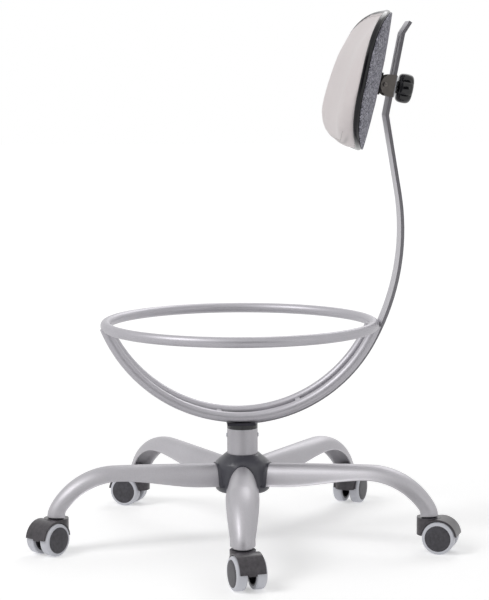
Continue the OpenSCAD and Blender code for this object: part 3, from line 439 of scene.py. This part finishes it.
def bead_nodes():
    """A node tree that lays slightly uneven beads along a line of edges."""
    tree = bpy.data.node_groups.new("beads_along_a_line", "GeometryNodeTree")
    tree.interface.new_socket("Geometry", in_out="INPUT", socket_type="NodeSocketGeometry")
    for name in ("Spacing", "Length", "Width", "Unevenness"):
        tree.interface.new_socket(name, in_out="INPUT", socket_type="NodeSocketFloat")
    tree.interface.new_socket("Seed", in_out="INPUT", socket_type="NodeSocketInt")
    tree.interface.new_socket("Material", in_out="INPUT", socket_type="NodeSocketMaterial")
    tree.interface.new_socket("Geometry", in_out="OUTPUT", socket_type="NodeSocketGeometry")
    given = add(tree, "NodeGroupInput").outputs
    curve = add(tree, "GeometryNodeMeshToCurve", {"Mesh": given["Geometry"]})
    even = add(tree, "GeometryNodeResampleCurve", {"Curve": curve.outputs[0],
                                                   "Length": given["Spacing"]}, mode="LENGTH")
    bead = add(tree, "GeometryNodeMeshUVSphere", {"Segments": 12, "Rings": 8, "Radius": 0.5})
    turn = add(tree, "FunctionNodeAlignRotationToVector",
               {"Vector": add(tree, "GeometryNodeInputTangent").outputs[0]}, axis="X")
    least = add(tree, "ShaderNodeMath", {0: 1.0, 1: given["Unevenness"]}, operation="SUBTRACT")
    most = add(tree, "ShaderNodeMath", {0: 1.0, 1: given["Unevenness"]}, operation="ADD")
    vary = add(tree, "FunctionNodeRandomValue", {2: least.outputs[0], 3: most.outputs[0],
                                                 8: given["Seed"]}, data_type="FLOAT")
    size = add(tree, "ShaderNodeCombineXYZ", {0: given["Length"], 1: given["Width"],
                                              2: given["Width"]})
    sized = add(tree, "ShaderNodeVectorMath", {0: size.outputs[0], "Scale": vary.outputs[1]},
                operation="SCALE")
    laid = add(tree, "GeometryNodeInstanceOnPoints",
               {"Points": even.outputs[0], "Instance": bead.outputs[0],
                "Rotation": turn.outputs[0], "Scale": sized.outputs[0]})
    whole = add(tree, "GeometryNodeRealizeInstances", {"Geometry": laid.outputs[0]})
    coated = add(tree, "GeometryNodeSetMaterial", {"Geometry": whole.outputs[0],
                                                   "Material": given["Material"]})
    add(tree, "NodeGroupOutput", {"Geometry": coated.outputs[0]})
    return tree


bead_tree = bead_nodes()


def as_shown(piece):
    """Turns what a piece's modifiers show into its own plain mesh."""
    seen = bpy.context.evaluated_depsgraph_get()
    plain = bpy.data.meshes.new_from_object(piece.evaluated_get(seen))
    piece.modifiers.clear()
    piece.data = plain
    return plain


def beads(name, lines, spacing, length, width, unevenness, seed, material):
    """Beads laid along lines of points in millimetres, as one plain mesh."""
    points, edges = [], []
    for line in lines:
        first = len(points)
        points += [p * MM for p in line]
        edges += [(first + i, first + i + 1) for i in range(len(line) - 1)]
    mesh = bpy.data.meshes.new(name)
    mesh.from_pydata(points, edges, [])
    piece = placed(name, mesh)
    laid = piece.modifiers.new("beads", "NODES")
    laid.node_group = bead_tree
    values = {"Spacing": spacing * MM, "Length": length * MM, "Width": width * MM,
              "Unevenness": unevenness, "Seed": seed, "Material": material}
    for socket in bead_tree.interface.items_tree:
        if socket.in_out == "INPUT" and socket.name in values:
            laid[socket.identifier] = values[socket.name]
    as_shown(piece).shade_smooth()
    return piece


def weld_line(side, way):
    """The line where a bow's tube runs into the ring's tube. Rear is way 1, front -1."""
    line = []
    for k in range(1, WELD_TURN_STEPS):
        turn = 2 * pi * k / WELD_TURN_STEPS
        for i in range(WELD_REACH_STEPS + 1):
            reach = WELD_FROM + WELD_SPAN * i / WELD_REACH_STEPS
            a = 1.5 * pi + way * (pi / 2 - bow_end) * reach
            out = Vector((0, cos(a), sin(a)))
            centre = bow_centre + Vector((side * BOW_X, 0, 0)) + BOW_R * out
            point = centre + TUBE_R * (cos(turn) * out + sin(turn) * Vector((1, 0, 0)))
            from_middle = sqrt(point.x ** 2 + (point.y - SEAT_SHIFT) ** 2)
            if sqrt((from_middle - RING_R) ** 2 + (point.z - RING_Z) ** 2) <= TUBE_R:
                line.append(point)
                break
    return line


weld_lines = [weld_line(side, way) for side in (-1, 1) for way in (-1, 1)]
ring_welds = beads("ring_weld_beads", weld_lines, WELD_SPACING, WELD_LENGTH, WELD_W,
                   WELD_UNEVENNESS, WELD_SEED, frame_silver_coat)
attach(ring_welds, "seat")

# Ties, plate and post: two flat ties across the bows, a dark steel plate that joins them to the
# turned post, and the zinc-plated disc that keeps the post in
finished_copy("cradle_ties", frame_silver_coat, 0.4)
# The plate's dark colour is partly painted shade, for the shadow that falls under the bows
plate_steel_painted_shade = plated_steel("dark_plate_steel_painted_shade", "#45434A", "#323136", 0.4)
post_steel = plated_steel("turned_post_steel", "#B9BBC0", "#9A9CA2", 0.25)
finished_copy("seat_plate", plate_steel_painted_shade, 0.5)
finished_copy("swivel_post", post_steel, 0.4)
finished_copy("post_retainer", zinc_plate, 0.3)

# Mast: one flat steel bar, 50 by 5 mm, bent to carry the backrest, welded to the
# bows below and slotted above for its height
EDGE_FACES_SIDE = 0.7
mast = finished_copy("mast mast_tip", frame_silver_coat, 0.6, smooth_below=30, above=50)
# The bar's sheared edges get a darker copy of the coat, a painted shade for the light falling off
# them
painted_shade_edge_coat = silver_powder_coat("silver_coat_painted_shade_bar_edge", "#8E8C91", "#77757A", 0.45)
mast.data.materials.append(painted_shade_edge_coat)
# Faces across the bar take the darker coat, which is painted shade
for face in mast.data.polygons:
    face.material_index = int(abs(face.normal.x) > EDGE_FACES_SIDE)

# Clamp: a folded bracket of phosphated steel that slides on the mast and carries
# the backrest on two rivets, with its plate and coach screw plated in zinc
bracket_steel = plated_steel("phosphated_bracket_steel", "#87827E", "#6C6864", 0.42)
finished_copy("clamp_bracket", bracket_steel, 0.5)
finished_copy("clamp_screw", zinc_plate, 0.3)
finished_copy("pressure_plate", zinc_plate, 0.4)
finished_copy("tilt_rivets", bracket_steel, 0.3)

# Knob: a grip with six soft lobes, moulded in black phenolic and polished, that
# turns on the coach screw and draws the clamp tight
KNOB_AT = Vector((0, 234.22, 707.54))
KNOB_AXIS = Vector((0, 0.981627, -0.190809))
KNOB_R, KNOB_T, KNOB_NECK_R, KNOB_NECK_H, KNOB_BORE_R = 24.0, 24.0, 10.0, 3.8, 4.6
KNOB_LOBES, KNOB_DIP, KNOB_VALLEY_POWER = 6, 0.13, 1.6
KNOB_FACE_SHARE, KNOB_SWELL_SHARE, KNOB_BORE_SHARE, KNOB_ROUNDNESS = 0.52, 0.48, 0.62, 2.6
KNOB_EDGE, KNOB_NECK_EDGE, KNOB_BLIND_R, KNOB_CROWN_R = 0.4, 0.5, 0.6, 1
KNOB_FLANK_STEPS, KNOB_STEPS = 24, 144
knob_phenolic = moulded_plastic("polished_black_phenolic_knob", "#1E1E21", "#151518",
                                0.14, 1.5, 0.02)
knob_start = min((v.co / MM - KNOB_AT).dot(KNOB_AXIS)
                 for v in frame["nodes"]["clamp_knob"].data.vertices)
bore_end = KNOB_NECK_H + KNOB_T * KNOB_BORE_SHARE
knob_top = KNOB_NECK_H + KNOB_T
# The knob's outline from the bore's end round to its crown: radius, height and
# how much of the lobes shows there
knob_profile = [(KNOB_BLIND_R, bore_end, 0), (KNOB_BORE_R, bore_end, 0),
                (KNOB_BORE_R, KNOB_EDGE, 0), (KNOB_BORE_R + KNOB_EDGE, 0, 0),
                (KNOB_NECK_R - KNOB_NECK_EDGE, 0, 0), (KNOB_NECK_R, KNOB_NECK_EDGE, 0),
                (KNOB_NECK_R, KNOB_NECK_H - 0.1, 0)]
for i in range(KNOB_FLANK_STEPS + 1):
    swing = pi * i / KNOB_FLANK_STEPS
    height = KNOB_NECK_H + KNOB_T * (0.5 - 0.5 * cos(swing))
    out = (1 - abs(cos(swing)) ** KNOB_ROUNDNESS) ** (1 / KNOB_ROUNDNESS)
    knob_profile.append((KNOB_R * (KNOB_FACE_SHARE + KNOB_SWELL_SHARE * out), height, out))
knob_profile += [(KNOB_R * 0.3, knob_top, 0), (KNOB_CROWN_R, knob_top, 0)]
knob_across = Vector((1, 0, 0))
knob_rise = KNOB_AXIS.cross(knob_across)
knob_rings = []
for r, height, lobed in knob_profile:
    ring = []
    for k in range(KNOB_STEPS):
        turn = 2 * pi * k / KNOB_STEPS
        valley = (1 - abs(cos(turn * KNOB_LOBES / 2))) ** KNOB_VALLEY_POWER
        reach = r * (1 - KNOB_DIP * lobed * valley)
        ring.append(KNOB_AT + KNOB_AXIS * (knob_start + height)
                    + reach * (cos(turn) * knob_across + sin(turn) * knob_rise))
    knob_rings.append(ring)
knob = lofted("lobed_knob", knob_rings, knob_phenolic, smooth_below=50)
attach(knob, "knob")
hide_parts("clamp_knob")

# Backrest plates: a flecked grey fibre panel screwed to its steel bracket, and
# the glossy black moulded shell that it closes
PAD_ORIGIN = Vector((0, 211.79, 714.07))
PAD_LEAN = radians(12)
PAD_W, PAD_H = 350.0, 218.0
PAD_TOP_P, PAD_LOW_P = 0.68, 0.667
PAD_WRAP_R, PAD_BOW_R = 414.0, 1300.0
PANEL_T, SHELL_T, LAYER_INSET = 3.0, 9.0, 2.4
SHELL_FRONT = PANEL_T + SHELL_T
PANEL_ROUND, SHELL_ROUND = 1.2, 3.8
OUTLINE_STEPS, RIM_STEPS = 160, 6
FACE_SHARES = [0.04, 0.2, 0.4, 0.6, 0.78, 0.9, 0.96]
pad_forward = Vector((0, -cos(PAD_LEAN), sin(PAD_LEAN)))
pad_up = Vector((0, sin(PAD_LEAN), cos(PAD_LEAN)))


def pad_point(u, v, n):
    """A point of the backrest at u across, v up and n forward of its rear face."""
    forward = n + u * u / (2 * PAD_WRAP_R) + v * v / (2 * PAD_BOW_R)
    return PAD_ORIGIN + Vector((u, 0, 0)) + pad_forward * forward + pad_up * v


def signed_power(x, p):
    """A power of x that keeps its sign."""
    return x ** p if x > 0 else -((-x) ** p)


def pad_ring(share, n, grow):
    """One ring of the outline at a share of its size, its points evenly spread."""
    ring = []
    for i in range(OUTLINE_STEPS):
        turn = 2 * pi * i / OUTLINE_STEPS
        p = PAD_TOP_P if sin(turn) > 0 else PAD_LOW_P
        t = atan2(signed_power(sin(turn), 1 / p), signed_power(cos(turn), 1 / p))
        u = (PAD_W / 2 + grow) * share * signed_power(cos(t), p)
        v = (PAD_H / 2 + grow) * share * signed_power(sin(t), p)
        ring.append(pad_point(u, v, n))
    return ring


def pad_layer(name, low, high, grow, round_r, material):
    """A layer of the backrest between two heights, its rim rounded on both sides."""
    quarter = [pi / 2 * i / RIM_STEPS for i in range(RIM_STEPS + 1)]
    rings = [pad_ring(s, low, grow) for s in FACE_SHARES]
    for a in quarter:
        rings.append(pad_ring(1, low + round_r * (1 - cos(a)), grow - round_r * (1 - sin(a))))
    for a in quarter:
        rings.append(pad_ring(1, high - round_r * (1 - sin(a)), grow - round_r * (1 - cos(a))))
    rings += [pad_ring(s, high, grow) for s in reversed(FACE_SHARES)]
    return lofted(name, rings, material)


def flecked_fibre():
    # Pressed fibre board with pale and dark flecks, 1.5 to 3 mm, under a thin
    # matt lacquer, so it reads as grained grey
    material, tree, shader, place = new_finish("flecked_grey_fibre_panel")
    warp = add(tree, "ShaderNodeTexNoise", {"Vector": place, "Scale": 1 / 0.004, "Detail": 2.0})
    bend = add(tree, "ShaderNodeVectorMath", {0: warp.outputs["Color"], 1: (0.002, 0.002, 0.002)},
               operation="MULTIPLY")
    moved = add(tree, "ShaderNodeVectorMath", {0: place, 1: bend.outputs[0]}, operation="ADD")
    fleck = add(tree, "ShaderNodeTexVoronoi", {"Vector": moved.outputs[0], "Scale": 1 / 0.0018})
    value = add(tree, "ShaderNodeSeparateColor", {"Color": fleck.outputs["Color"]})
    ramp = add(tree, "ShaderNodeValToRGB", {"Fac": value.outputs["Red"]})
    stops = ramp.color_ramp.elements
    stops[0].position, stops[0].color = 0.0, linear("#3E3D45")
    stops[1].position, stops[1].color = 1.0, linear("#D9D8E2")
    for position, code in ((0.3, "#686772"), (0.6, "#8A8995"), (0.85, "#BAB9C5")):
        stops.new(position).color = linear(code)
    tree.links.new(ramp.outputs["Color"], shader.inputs["Base Color"])
    bump = add(tree, "ShaderNodeBump", {"Height": value.outputs["Red"], "Strength": 0.4,
                                        "Distance": 0.00025})
    tree.links.new(bump.outputs["Normal"], shader.inputs["Normal"])
    shader.inputs["Roughness"].default_value = 0.72
    return material


panel_fibre = flecked_fibre()
pad_panel = pad_layer("backrest_panel", 0, PANEL_T, -LAYER_INSET, PANEL_ROUND, panel_fibre)
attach(pad_panel, "pad")
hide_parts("pad_panel")
shell_plastic = moulded_plastic("glossy_black_shell_plastic", "#1B1A1F", "#141317",
                                0.2, 1.8, 0.012)
# A weaker mirror than plain gloss, so that the black keeps its depth in a white room
shell_plastic.node_tree.nodes["Principled BSDF"].inputs["Specular IOR Level"].default_value = 0.3
pad_shell = pad_layer("backrest_shell", PANEL_T, SHELL_FRONT, 0, SHELL_ROUND, shell_plastic)
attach(pad_shell, "pad")
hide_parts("pad_shell")
oxide_steel = plated_steel("black_oxide_bracket_steel", "#3B393A", "#2C2B2C", 0.4)
finished_copy("pad_bracket", oxide_steel, 0.4)
finished_copy("pad_screws", zinc_plate, 0.2)

# Cushion: foam under pale leatherette, crowned, with one sewn seam where its
# front meets the border strip that is turned in behind the shell
CUSHION_CROWN, CUSHION_ROOT, CUSHION_VOXEL = 35.5, 5.0, 3.5
CROWN_LEAN, CROWN_EASE = 0.07, 1.05
EDGE_POWER, EDGE_POWER_LEAN, EDGE_POWER_LOW, EDGE_POWER_LEAST = 5.3, 4.4, 12, 1.8
SWELL_MOST, STUFFING_PRESSURE, STUFFING_MASS, STUFFING_STEPS = 2.0, 2.5, 0.3, 20
HELD_BELOW, HELD_FADE = 1.0, 4.0
SEAM_SHARE, SEAM_SIDE_GAIN, SEAM_W, SEAM_DEPTH, SEAM_SHADE = 0.94, 0.045, 1.5, 0.7, 0.4
SEAM_FADE_FROM, SEAM_FADE = 0.74, 0.14
STITCH_SPACING, STITCH_LENGTH, STITCH_W, STITCH_UNEVENNESS, STITCH_SEED = 4.5, 3.2, 0.9, 0.08, 3
STITCH_RISE, STITCH_IN, STITCH_REACH, STITCH_STEPS = 0.1, 0.03, 41, 40


def leatherette():
    # Leatherette: a pale warm grey skin on cloth with a low sheen. Its pebble is about 1 mm and is
    # drawn at 1.6 mm to show, and a soft shadow is painted into its colour along the seam.
    material, tree, shader, place = new_finish("pale_grey_leatherette")
    cloudy = add(tree, "ShaderNodeTexNoise", {"Vector": place, "Scale": 1 / 0.07, "Detail": 3.0})
    tone = add(tree, "ShaderNodeMix", {0: cloudy.outputs["Fac"], 6: linear("#E1D9D9"),
                                       7: linear("#ECE4E4")}, data_type="RGBA")
    seam = add(tree, "ShaderNodeAttribute", attribute_name="seam_painted_shade")
    # Along the seam the skin's colour is darkened, a painted shade in the seam's hollow
    seam_painted_shade_tone = add(tree, "ShaderNodeMix", {0: seam.outputs["Fac"], 6: tone.outputs[2],
                                           7: linear("#75706F")}, data_type="RGBA")
    tree.links.new(seam_painted_shade_tone.outputs[2], shader.inputs["Base Color"])
    pebble = add(tree, "ShaderNodeTexVoronoi", {"Vector": place, "Scale": 1 / 0.0016},
                 feature="SMOOTH_F1")
    pores = add(tree, "ShaderNodeTexNoise", {"Vector": place, "Scale": 1 / 0.0009, "Detail": 2.0})
    both = add(tree, "ShaderNodeMath", {0: pores.outputs["Fac"], 1: 0.4,
                                        2: pebble.outputs["Distance"]}, operation="MULTIPLY_ADD")
    bump = add(tree, "ShaderNodeBump", {"Height": both.outputs[0], "Strength": 0.3,
                                        "Distance": 0.0002})
    tree.links.new(bump.outputs["Normal"], shader.inputs["Normal"])
    gloss = add(tree, "ShaderNodeMapRange", {"Value": cloudy.outputs["Fac"], "To Min": 0.46,
                                             "To Max": 0.58})
    tree.links.new(gloss.outputs[0], shader.inputs["Roughness"])
    shader.inputs["Sheen Weight"].default_value = 0.12
    shader.inputs["Sheen Roughness"].default_value = 0.5
    return material


def crown(share, high):
    """Height of the cushion at a share of its outline. It is fuller below, where high is -1."""
    power = max(EDGE_POWER_LEAST,
                EDGE_POWER - EDGE_POWER_LEAN * high + EDGE_POWER_LOW * max(0, -high) ** 3)
    return CUSHION_CROWN * (1 - CROWN_LEAN * high) * max(0.0, 1 - share ** power) ** CROWN_EASE


def outline_share(u, v):
    """How far out a point of the backrest lies, 1 on its outline."""
    p = PAD_TOP_P if v > 0 else PAD_LOW_P
    across, along = abs(u) / (PAD_W / 2), abs(v) / (PAD_H / 2)
    return (across ** (2 / p) + along ** (2 / p)) ** (p / 2)


def seam_share(u):
    """The share of the outline that the seam lies at, nearer the shell at the sides."""
    return SEAM_SHARE + SEAM_SIDE_GAIN * (u / (PAD_W / 2)) ** 2


def pad_place(point):
    """The u, v and n of a point given in metres."""
    away = point / MM - PAD_ORIGIN
    u, v = away.x, away.dot(pad_up)
    return u, v, away.dot(pad_forward) - u * u / (2 * PAD_WRAP_R) - v * v / (2 * PAD_BOW_R)


def crown_ring(share, grow):
    """A ring of the outline lifted to the crown's height, point by point."""
    ring = []
    for point in pad_ring(share, 0, grow):
        high = (point - PAD_ORIGIN).dot(pad_up) / (PAD_H / 2)
        ring.append(point + pad_forward * (SHELL_FRONT + crown(share, high)))
    return ring


cushion_rings = [pad_ring(s, SHELL_FRONT - CUSHION_ROOT, -LAYER_INSET * 2) for s in
                 (0.05, 0.3, 0.55, 0.75, 0.9, 0.97, 1)]
cushion_rings.append(pad_ring(1, SHELL_FRONT - 1, -LAYER_INSET * 1.2))
cushion_rings.append(crown_ring(0.99, -LAYER_INSET * 0.6))
cushion_rings += [crown_ring(s, -0.8) for s in (0.975, 0.955, 0.94, 0.92, 0.9, 0.87, 0.83, 0.78,
                                                0.7, 0.6, 0.48, 0.34, 0.2, 0.06)]
cushion_skin = leatherette()
thread_polyester = moulded_plastic("grey_polyester_thread", "#C3BBBB", "#ADA5A5", 0.6, 1.0, 0.1)
cushion = lofted("backrest_cushion", cushion_rings, cushion_skin)
remesh = cushion.modifiers.new("even_mesh", "REMESH")
remesh.mode = "VOXEL"
remesh.voxel_size = CUSHION_VOXEL * MM
even = as_shown(cushion)
# The stuffing presses the skin out, which is held fast along the shell
held = cushion.vertex_groups.new(name="held_to_shell")
rest = [v.co.copy() for v in even.vertices]
for vertex in even.vertices:
    n = pad_place(vertex.co)[2]
    hold = min(1.0, max(0.0, 1 - (n - SHELL_FRONT - HELD_BELOW) / HELD_FADE))
    held.add([vertex.index], hold, "REPLACE")
cloth = cushion.modifiers.new("stuffing", "CLOTH")
cloth.settings.quality = 6
cloth.settings.mass = STUFFING_MASS
cloth.settings.use_pressure = True
cloth.settings.uniform_pressure_force = STUFFING_PRESSURE
cloth.settings.vertex_group_mass = "held_to_shell"
cloth.settings.effector_weights.gravity = 0.0
cloth.point_cache.frame_start = 1
cloth.point_cache.frame_end = STUFFING_STEPS
for step in range(1, STUFFING_STEPS + 1):
    bpy.context.scene.frame_set(step)
seen = bpy.context.evaluated_depsgraph_get()
swollen = cushion.evaluated_get(seen).to_mesh()
moved = [v.co.copy() for v in swollen.vertices]
cushion.modifiers.clear()
bpy.context.scene.frame_set(1)
for vertex, start, end in zip(even.vertices, rest, moved):
    step = end - start
    if step.length > SWELL_MOST * MM:
        step = step * (SWELL_MOST * MM / step.length)
    vertex.co = start + step
cushion.vertex_groups.clear()
relaxed = cushion.modifiers.new("relaxed", "SMOOTH")
relaxed.factor, relaxed.iterations = 0.5, 6
finer = cushion.modifiers.new("finer", "SUBSURF")
finer.levels = finer.render_levels = 1
fine = as_shown(cushion)
# The seam draws the skin in along the top and the bottom and fades at the sides
seam_painted_shade = fine.attributes.new("seam_painted_shade", "FLOAT", "POINT")
for vertex in fine.vertices:
    u, v, n = pad_place(vertex.co)
    level = min(1, max(0, (abs(v) / (PAD_H / 2) - SEAM_FADE_FROM) / SEAM_FADE))
    off = (outline_share(u, v) - seam_share(u)) * sqrt(u * u + v * v)
    pull = level * exp(-(off / SEAM_W) ** 2) if n > SHELL_FRONT + HELD_BELOW else 0.0
    # The seam's painted shade is strongest in its hollow
    seam_painted_shade.data[vertex.index].value = SEAM_SHADE * pull ** 2
    vertex.co -= pad_forward * (SEAM_DEPTH * MM * pull)
fine.shade_smooth()
# Stitches follow the seam, laid on the finished skin
surface = BVHTree.FromPolygons([v.co for v in fine.vertices],
                               [tuple(p.vertices) for p in fine.polygons])
stitch_lines = []
for sign in (1, -1):
    line = []
    for i in range(2 * STITCH_STEPS + 1):
        t = radians(90 + STITCH_REACH * (i / STITCH_STEPS - 1))
        p = PAD_TOP_P if sign > 0 else PAD_LOW_P
        share = seam_share(PAD_W / 2 * signed_power(cos(t), p)) - STITCH_IN
        u = PAD_W / 2 * share * signed_power(cos(t), p)
        v = sign * PAD_H / 2 * share * signed_power(sin(t), p)
        start = pad_point(u, v, SHELL_FRONT + 2 * CUSHION_CROWN) * MM
        hit = surface.ray_cast(start, -pad_forward)[0]
        if hit:
            line.append(hit / MM + pad_forward * STITCH_RISE)
    stitch_lines.append(line)
stitches = beads("seam_stitches", stitch_lines, STITCH_SPACING, STITCH_LENGTH, STITCH_W,
                 STITCH_UNEVENNESS, STITCH_SEED, thread_polyester)
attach(stitches, "pad")
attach(cushion, "pad")
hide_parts("pad_cushion")

# Studio floor: matt white paint, lit from within a little so that it reads white
# and keeps a faint soft shadow under the chair, and pure white farther out
FLOOR_REACH, FLOOR_FADE_FROM, FLOOR_FADE_TO = 15.0, 0.8, 2.6
floor_mesh = bpy.data.meshes.new("studio_floor")
floor_mesh.from_pydata([(-FLOOR_REACH, -FLOOR_REACH, 0), (FLOOR_REACH, -FLOOR_REACH, 0),
                        (FLOOR_REACH, FLOOR_REACH, 0), (-FLOOR_REACH, FLOOR_REACH, 0)],
                       [], [(0, 1, 2, 3)])
floor = placed("studio_floor", floor_mesh)
floor_paint, tree, shader, place = new_finish("white_floor_paint")
shader.inputs["Roughness"].default_value = 0.9
rays = add(tree, "ShaderNodeLightPath")
lift = add(tree, "ShaderNodeMath", {0: rays.outputs["Is Camera Ray"],
                                    1: rays.outputs["Is Glossy Ray"]}, operation="MAXIMUM")
away = add(tree, "ShaderNodeVectorMath", {0: place}, operation="LENGTH")
fade = add(tree, "ShaderNodeMapRange", {"Value": away.outputs["Value"],
                                        "From Min": FLOOR_FADE_FROM, "From Max": FLOOR_FADE_TO},
           interpolation_type="SMOOTHSTEP")
paint = add(tree, "ShaderNodeMix", {0: fade.outputs[0], 6: linear("#EDEDED"),
                                    7: linear("#000000")}, data_type="RGBA")
tree.links.new(paint.outputs[2], shader.inputs["Base Color"])
glow = add(tree, "ShaderNodeMapRange", {"Value": fade.outputs[0], "To Min": 0.4, "To Max": 1.0})
level = add(tree, "ShaderNodeMath", {0: lift.outputs[0], 1: glow.outputs[0]}, operation="MULTIPLY")
level = add(tree, "ShaderNodeMath", {0: level.outputs[0], 1: 0.2}, operation="MAXIMUM")
shader.inputs["Emission Color"].default_value = (1, 1, 1, 1)
tree.links.new(level.outputs[0], shader.inputs["Emission Strength"])
floor_mesh.materials.append(floor_paint)

# Studio surround: white to the camera and in reflections, dimmer as a light, so
# that the lamps shape the chair
world = bpy.data.worlds.new("studio_surround")
bpy.context.scene.world = world
world.use_nodes = True
tree = world.node_tree
tree.nodes.clear()
rays = add(tree, "ShaderNodeLightPath")
bright = add(tree, "ShaderNodeMath", {0: rays.outputs["Is Camera Ray"],
                                      1: rays.outputs["Is Glossy Ray"]}, operation="MAXIMUM")
bright = add(tree, "ShaderNodeMath", {0: bright.outputs[0],
                                      1: rays.outputs["Is Transmission Ray"]}, operation="MAXIMUM")
strength = add(tree, "ShaderNodeMapRange", {"Value": bright.outputs[0], "To Min": 0.38,
                                            "To Max": 1.0})
backdrop = add(tree, "ShaderNodeBackground", {"Color": (1, 1, 1, 1),
                                              "Strength": strength.outputs[0]})
add(tree, "ShaderNodeOutputWorld", {"Surface": backdrop.outputs[0]})

# Black card: a matt black sheet stood behind the camera, seen only in reflections,
# that gives the silver coat its dark side
CARD_X, CARD_LEFT, CARD_RIGHT, CARD_LOW, CARD_HIGH = 4.2, -1.3, 2.6, 0.1, 2.2
card_mesh = bpy.data.meshes.new("black_card")
card_mesh.from_pydata([(CARD_X, CARD_LEFT, CARD_LOW), (CARD_X, CARD_RIGHT, CARD_LOW),
                       (CARD_X, CARD_RIGHT, CARD_HIGH), (CARD_X, CARD_LEFT, CARD_HIGH)],
                      [], [(0, 1, 2, 3)])
card = placed("black_card", card_mesh)
card_paint, tree, shader, place = new_finish("black_card_paint")
shader.inputs["Base Color"].default_value = linear("#101010")
shader.inputs["Roughness"].default_value = 1.0
card_mesh.materials.append(card_paint)
card.visible_camera = card.visible_diffuse = card.visible_shadow = False

# Lamps: three square soft boxes that face the seat, a key high in front, a weak
# fill low behind and a back light from the far side
LAMPS_FACE = Vector((0, 0, 0.4))
for name, place, size, watts in (("key_lamp", (1.3, -2.4, 3.0), 1.6, 50),
                                 ("fill_lamp", (2.6, 2.2, 1.2), 1.8, 5),
                                 ("back_lamp", (-2.2, 1.0, 2.4), 1.6, 18)):
    lamp = bpy.data.lights.new(name, "AREA")
    lamp.shape = "SQUARE"
    lamp.size = size
    lamp.energy = watts
    lit = placed(name, lamp)
    lit.location = place
    lit.rotation_euler = (LAMPS_FACE - Vector(place)).to_track_quat("-Z", "Y").to_euler()

# Camera: a long lens at the side of the chair, three metres off and a little above
# the seat, with the turn, dip and roll that the photograph was taken at
CAMERA_PLACE = Vector((3.1002, -0.1733, 0.747))
CAMERA_TURN, CAMERA_DIP, CAMERA_ROLL = radians(3.2), radians(6.79), radians(-0.19)
SENSOR_HEIGHT, FOCAL_LENGTH, LENS_SHIFT = 24.0, 80.32, 0.0042
lens = bpy.data.cameras.new("photo_camera")
camera = placed("photo_camera", lens)
look = Vector((-cos(CAMERA_TURN) * cos(CAMERA_DIP), sin(CAMERA_TURN) * cos(CAMERA_DIP),
               -sin(CAMERA_DIP)))
right = Vector((sin(CAMERA_TURN), cos(CAMERA_TURN), 0))
up = right.cross(look)
tilted_right = cos(CAMERA_ROLL) * right + sin(CAMERA_ROLL) * up
tilted_up = cos(CAMERA_ROLL) * up - sin(CAMERA_ROLL) * right
camera.matrix_world = Matrix.Translation(CAMERA_PLACE) @ Matrix(
    (tilted_right, tilted_up, -look)).transposed().to_4x4()
lens.sensor_fit = "VERTICAL"
lens.sensor_height = SENSOR_HEIGHT
lens.lens = FOCAL_LENGTH
lens.shift_x = LENS_SHIFT
bpy.context.scene.camera = camera
bpy.context.scene.view_settings.view_transform = "Standard"
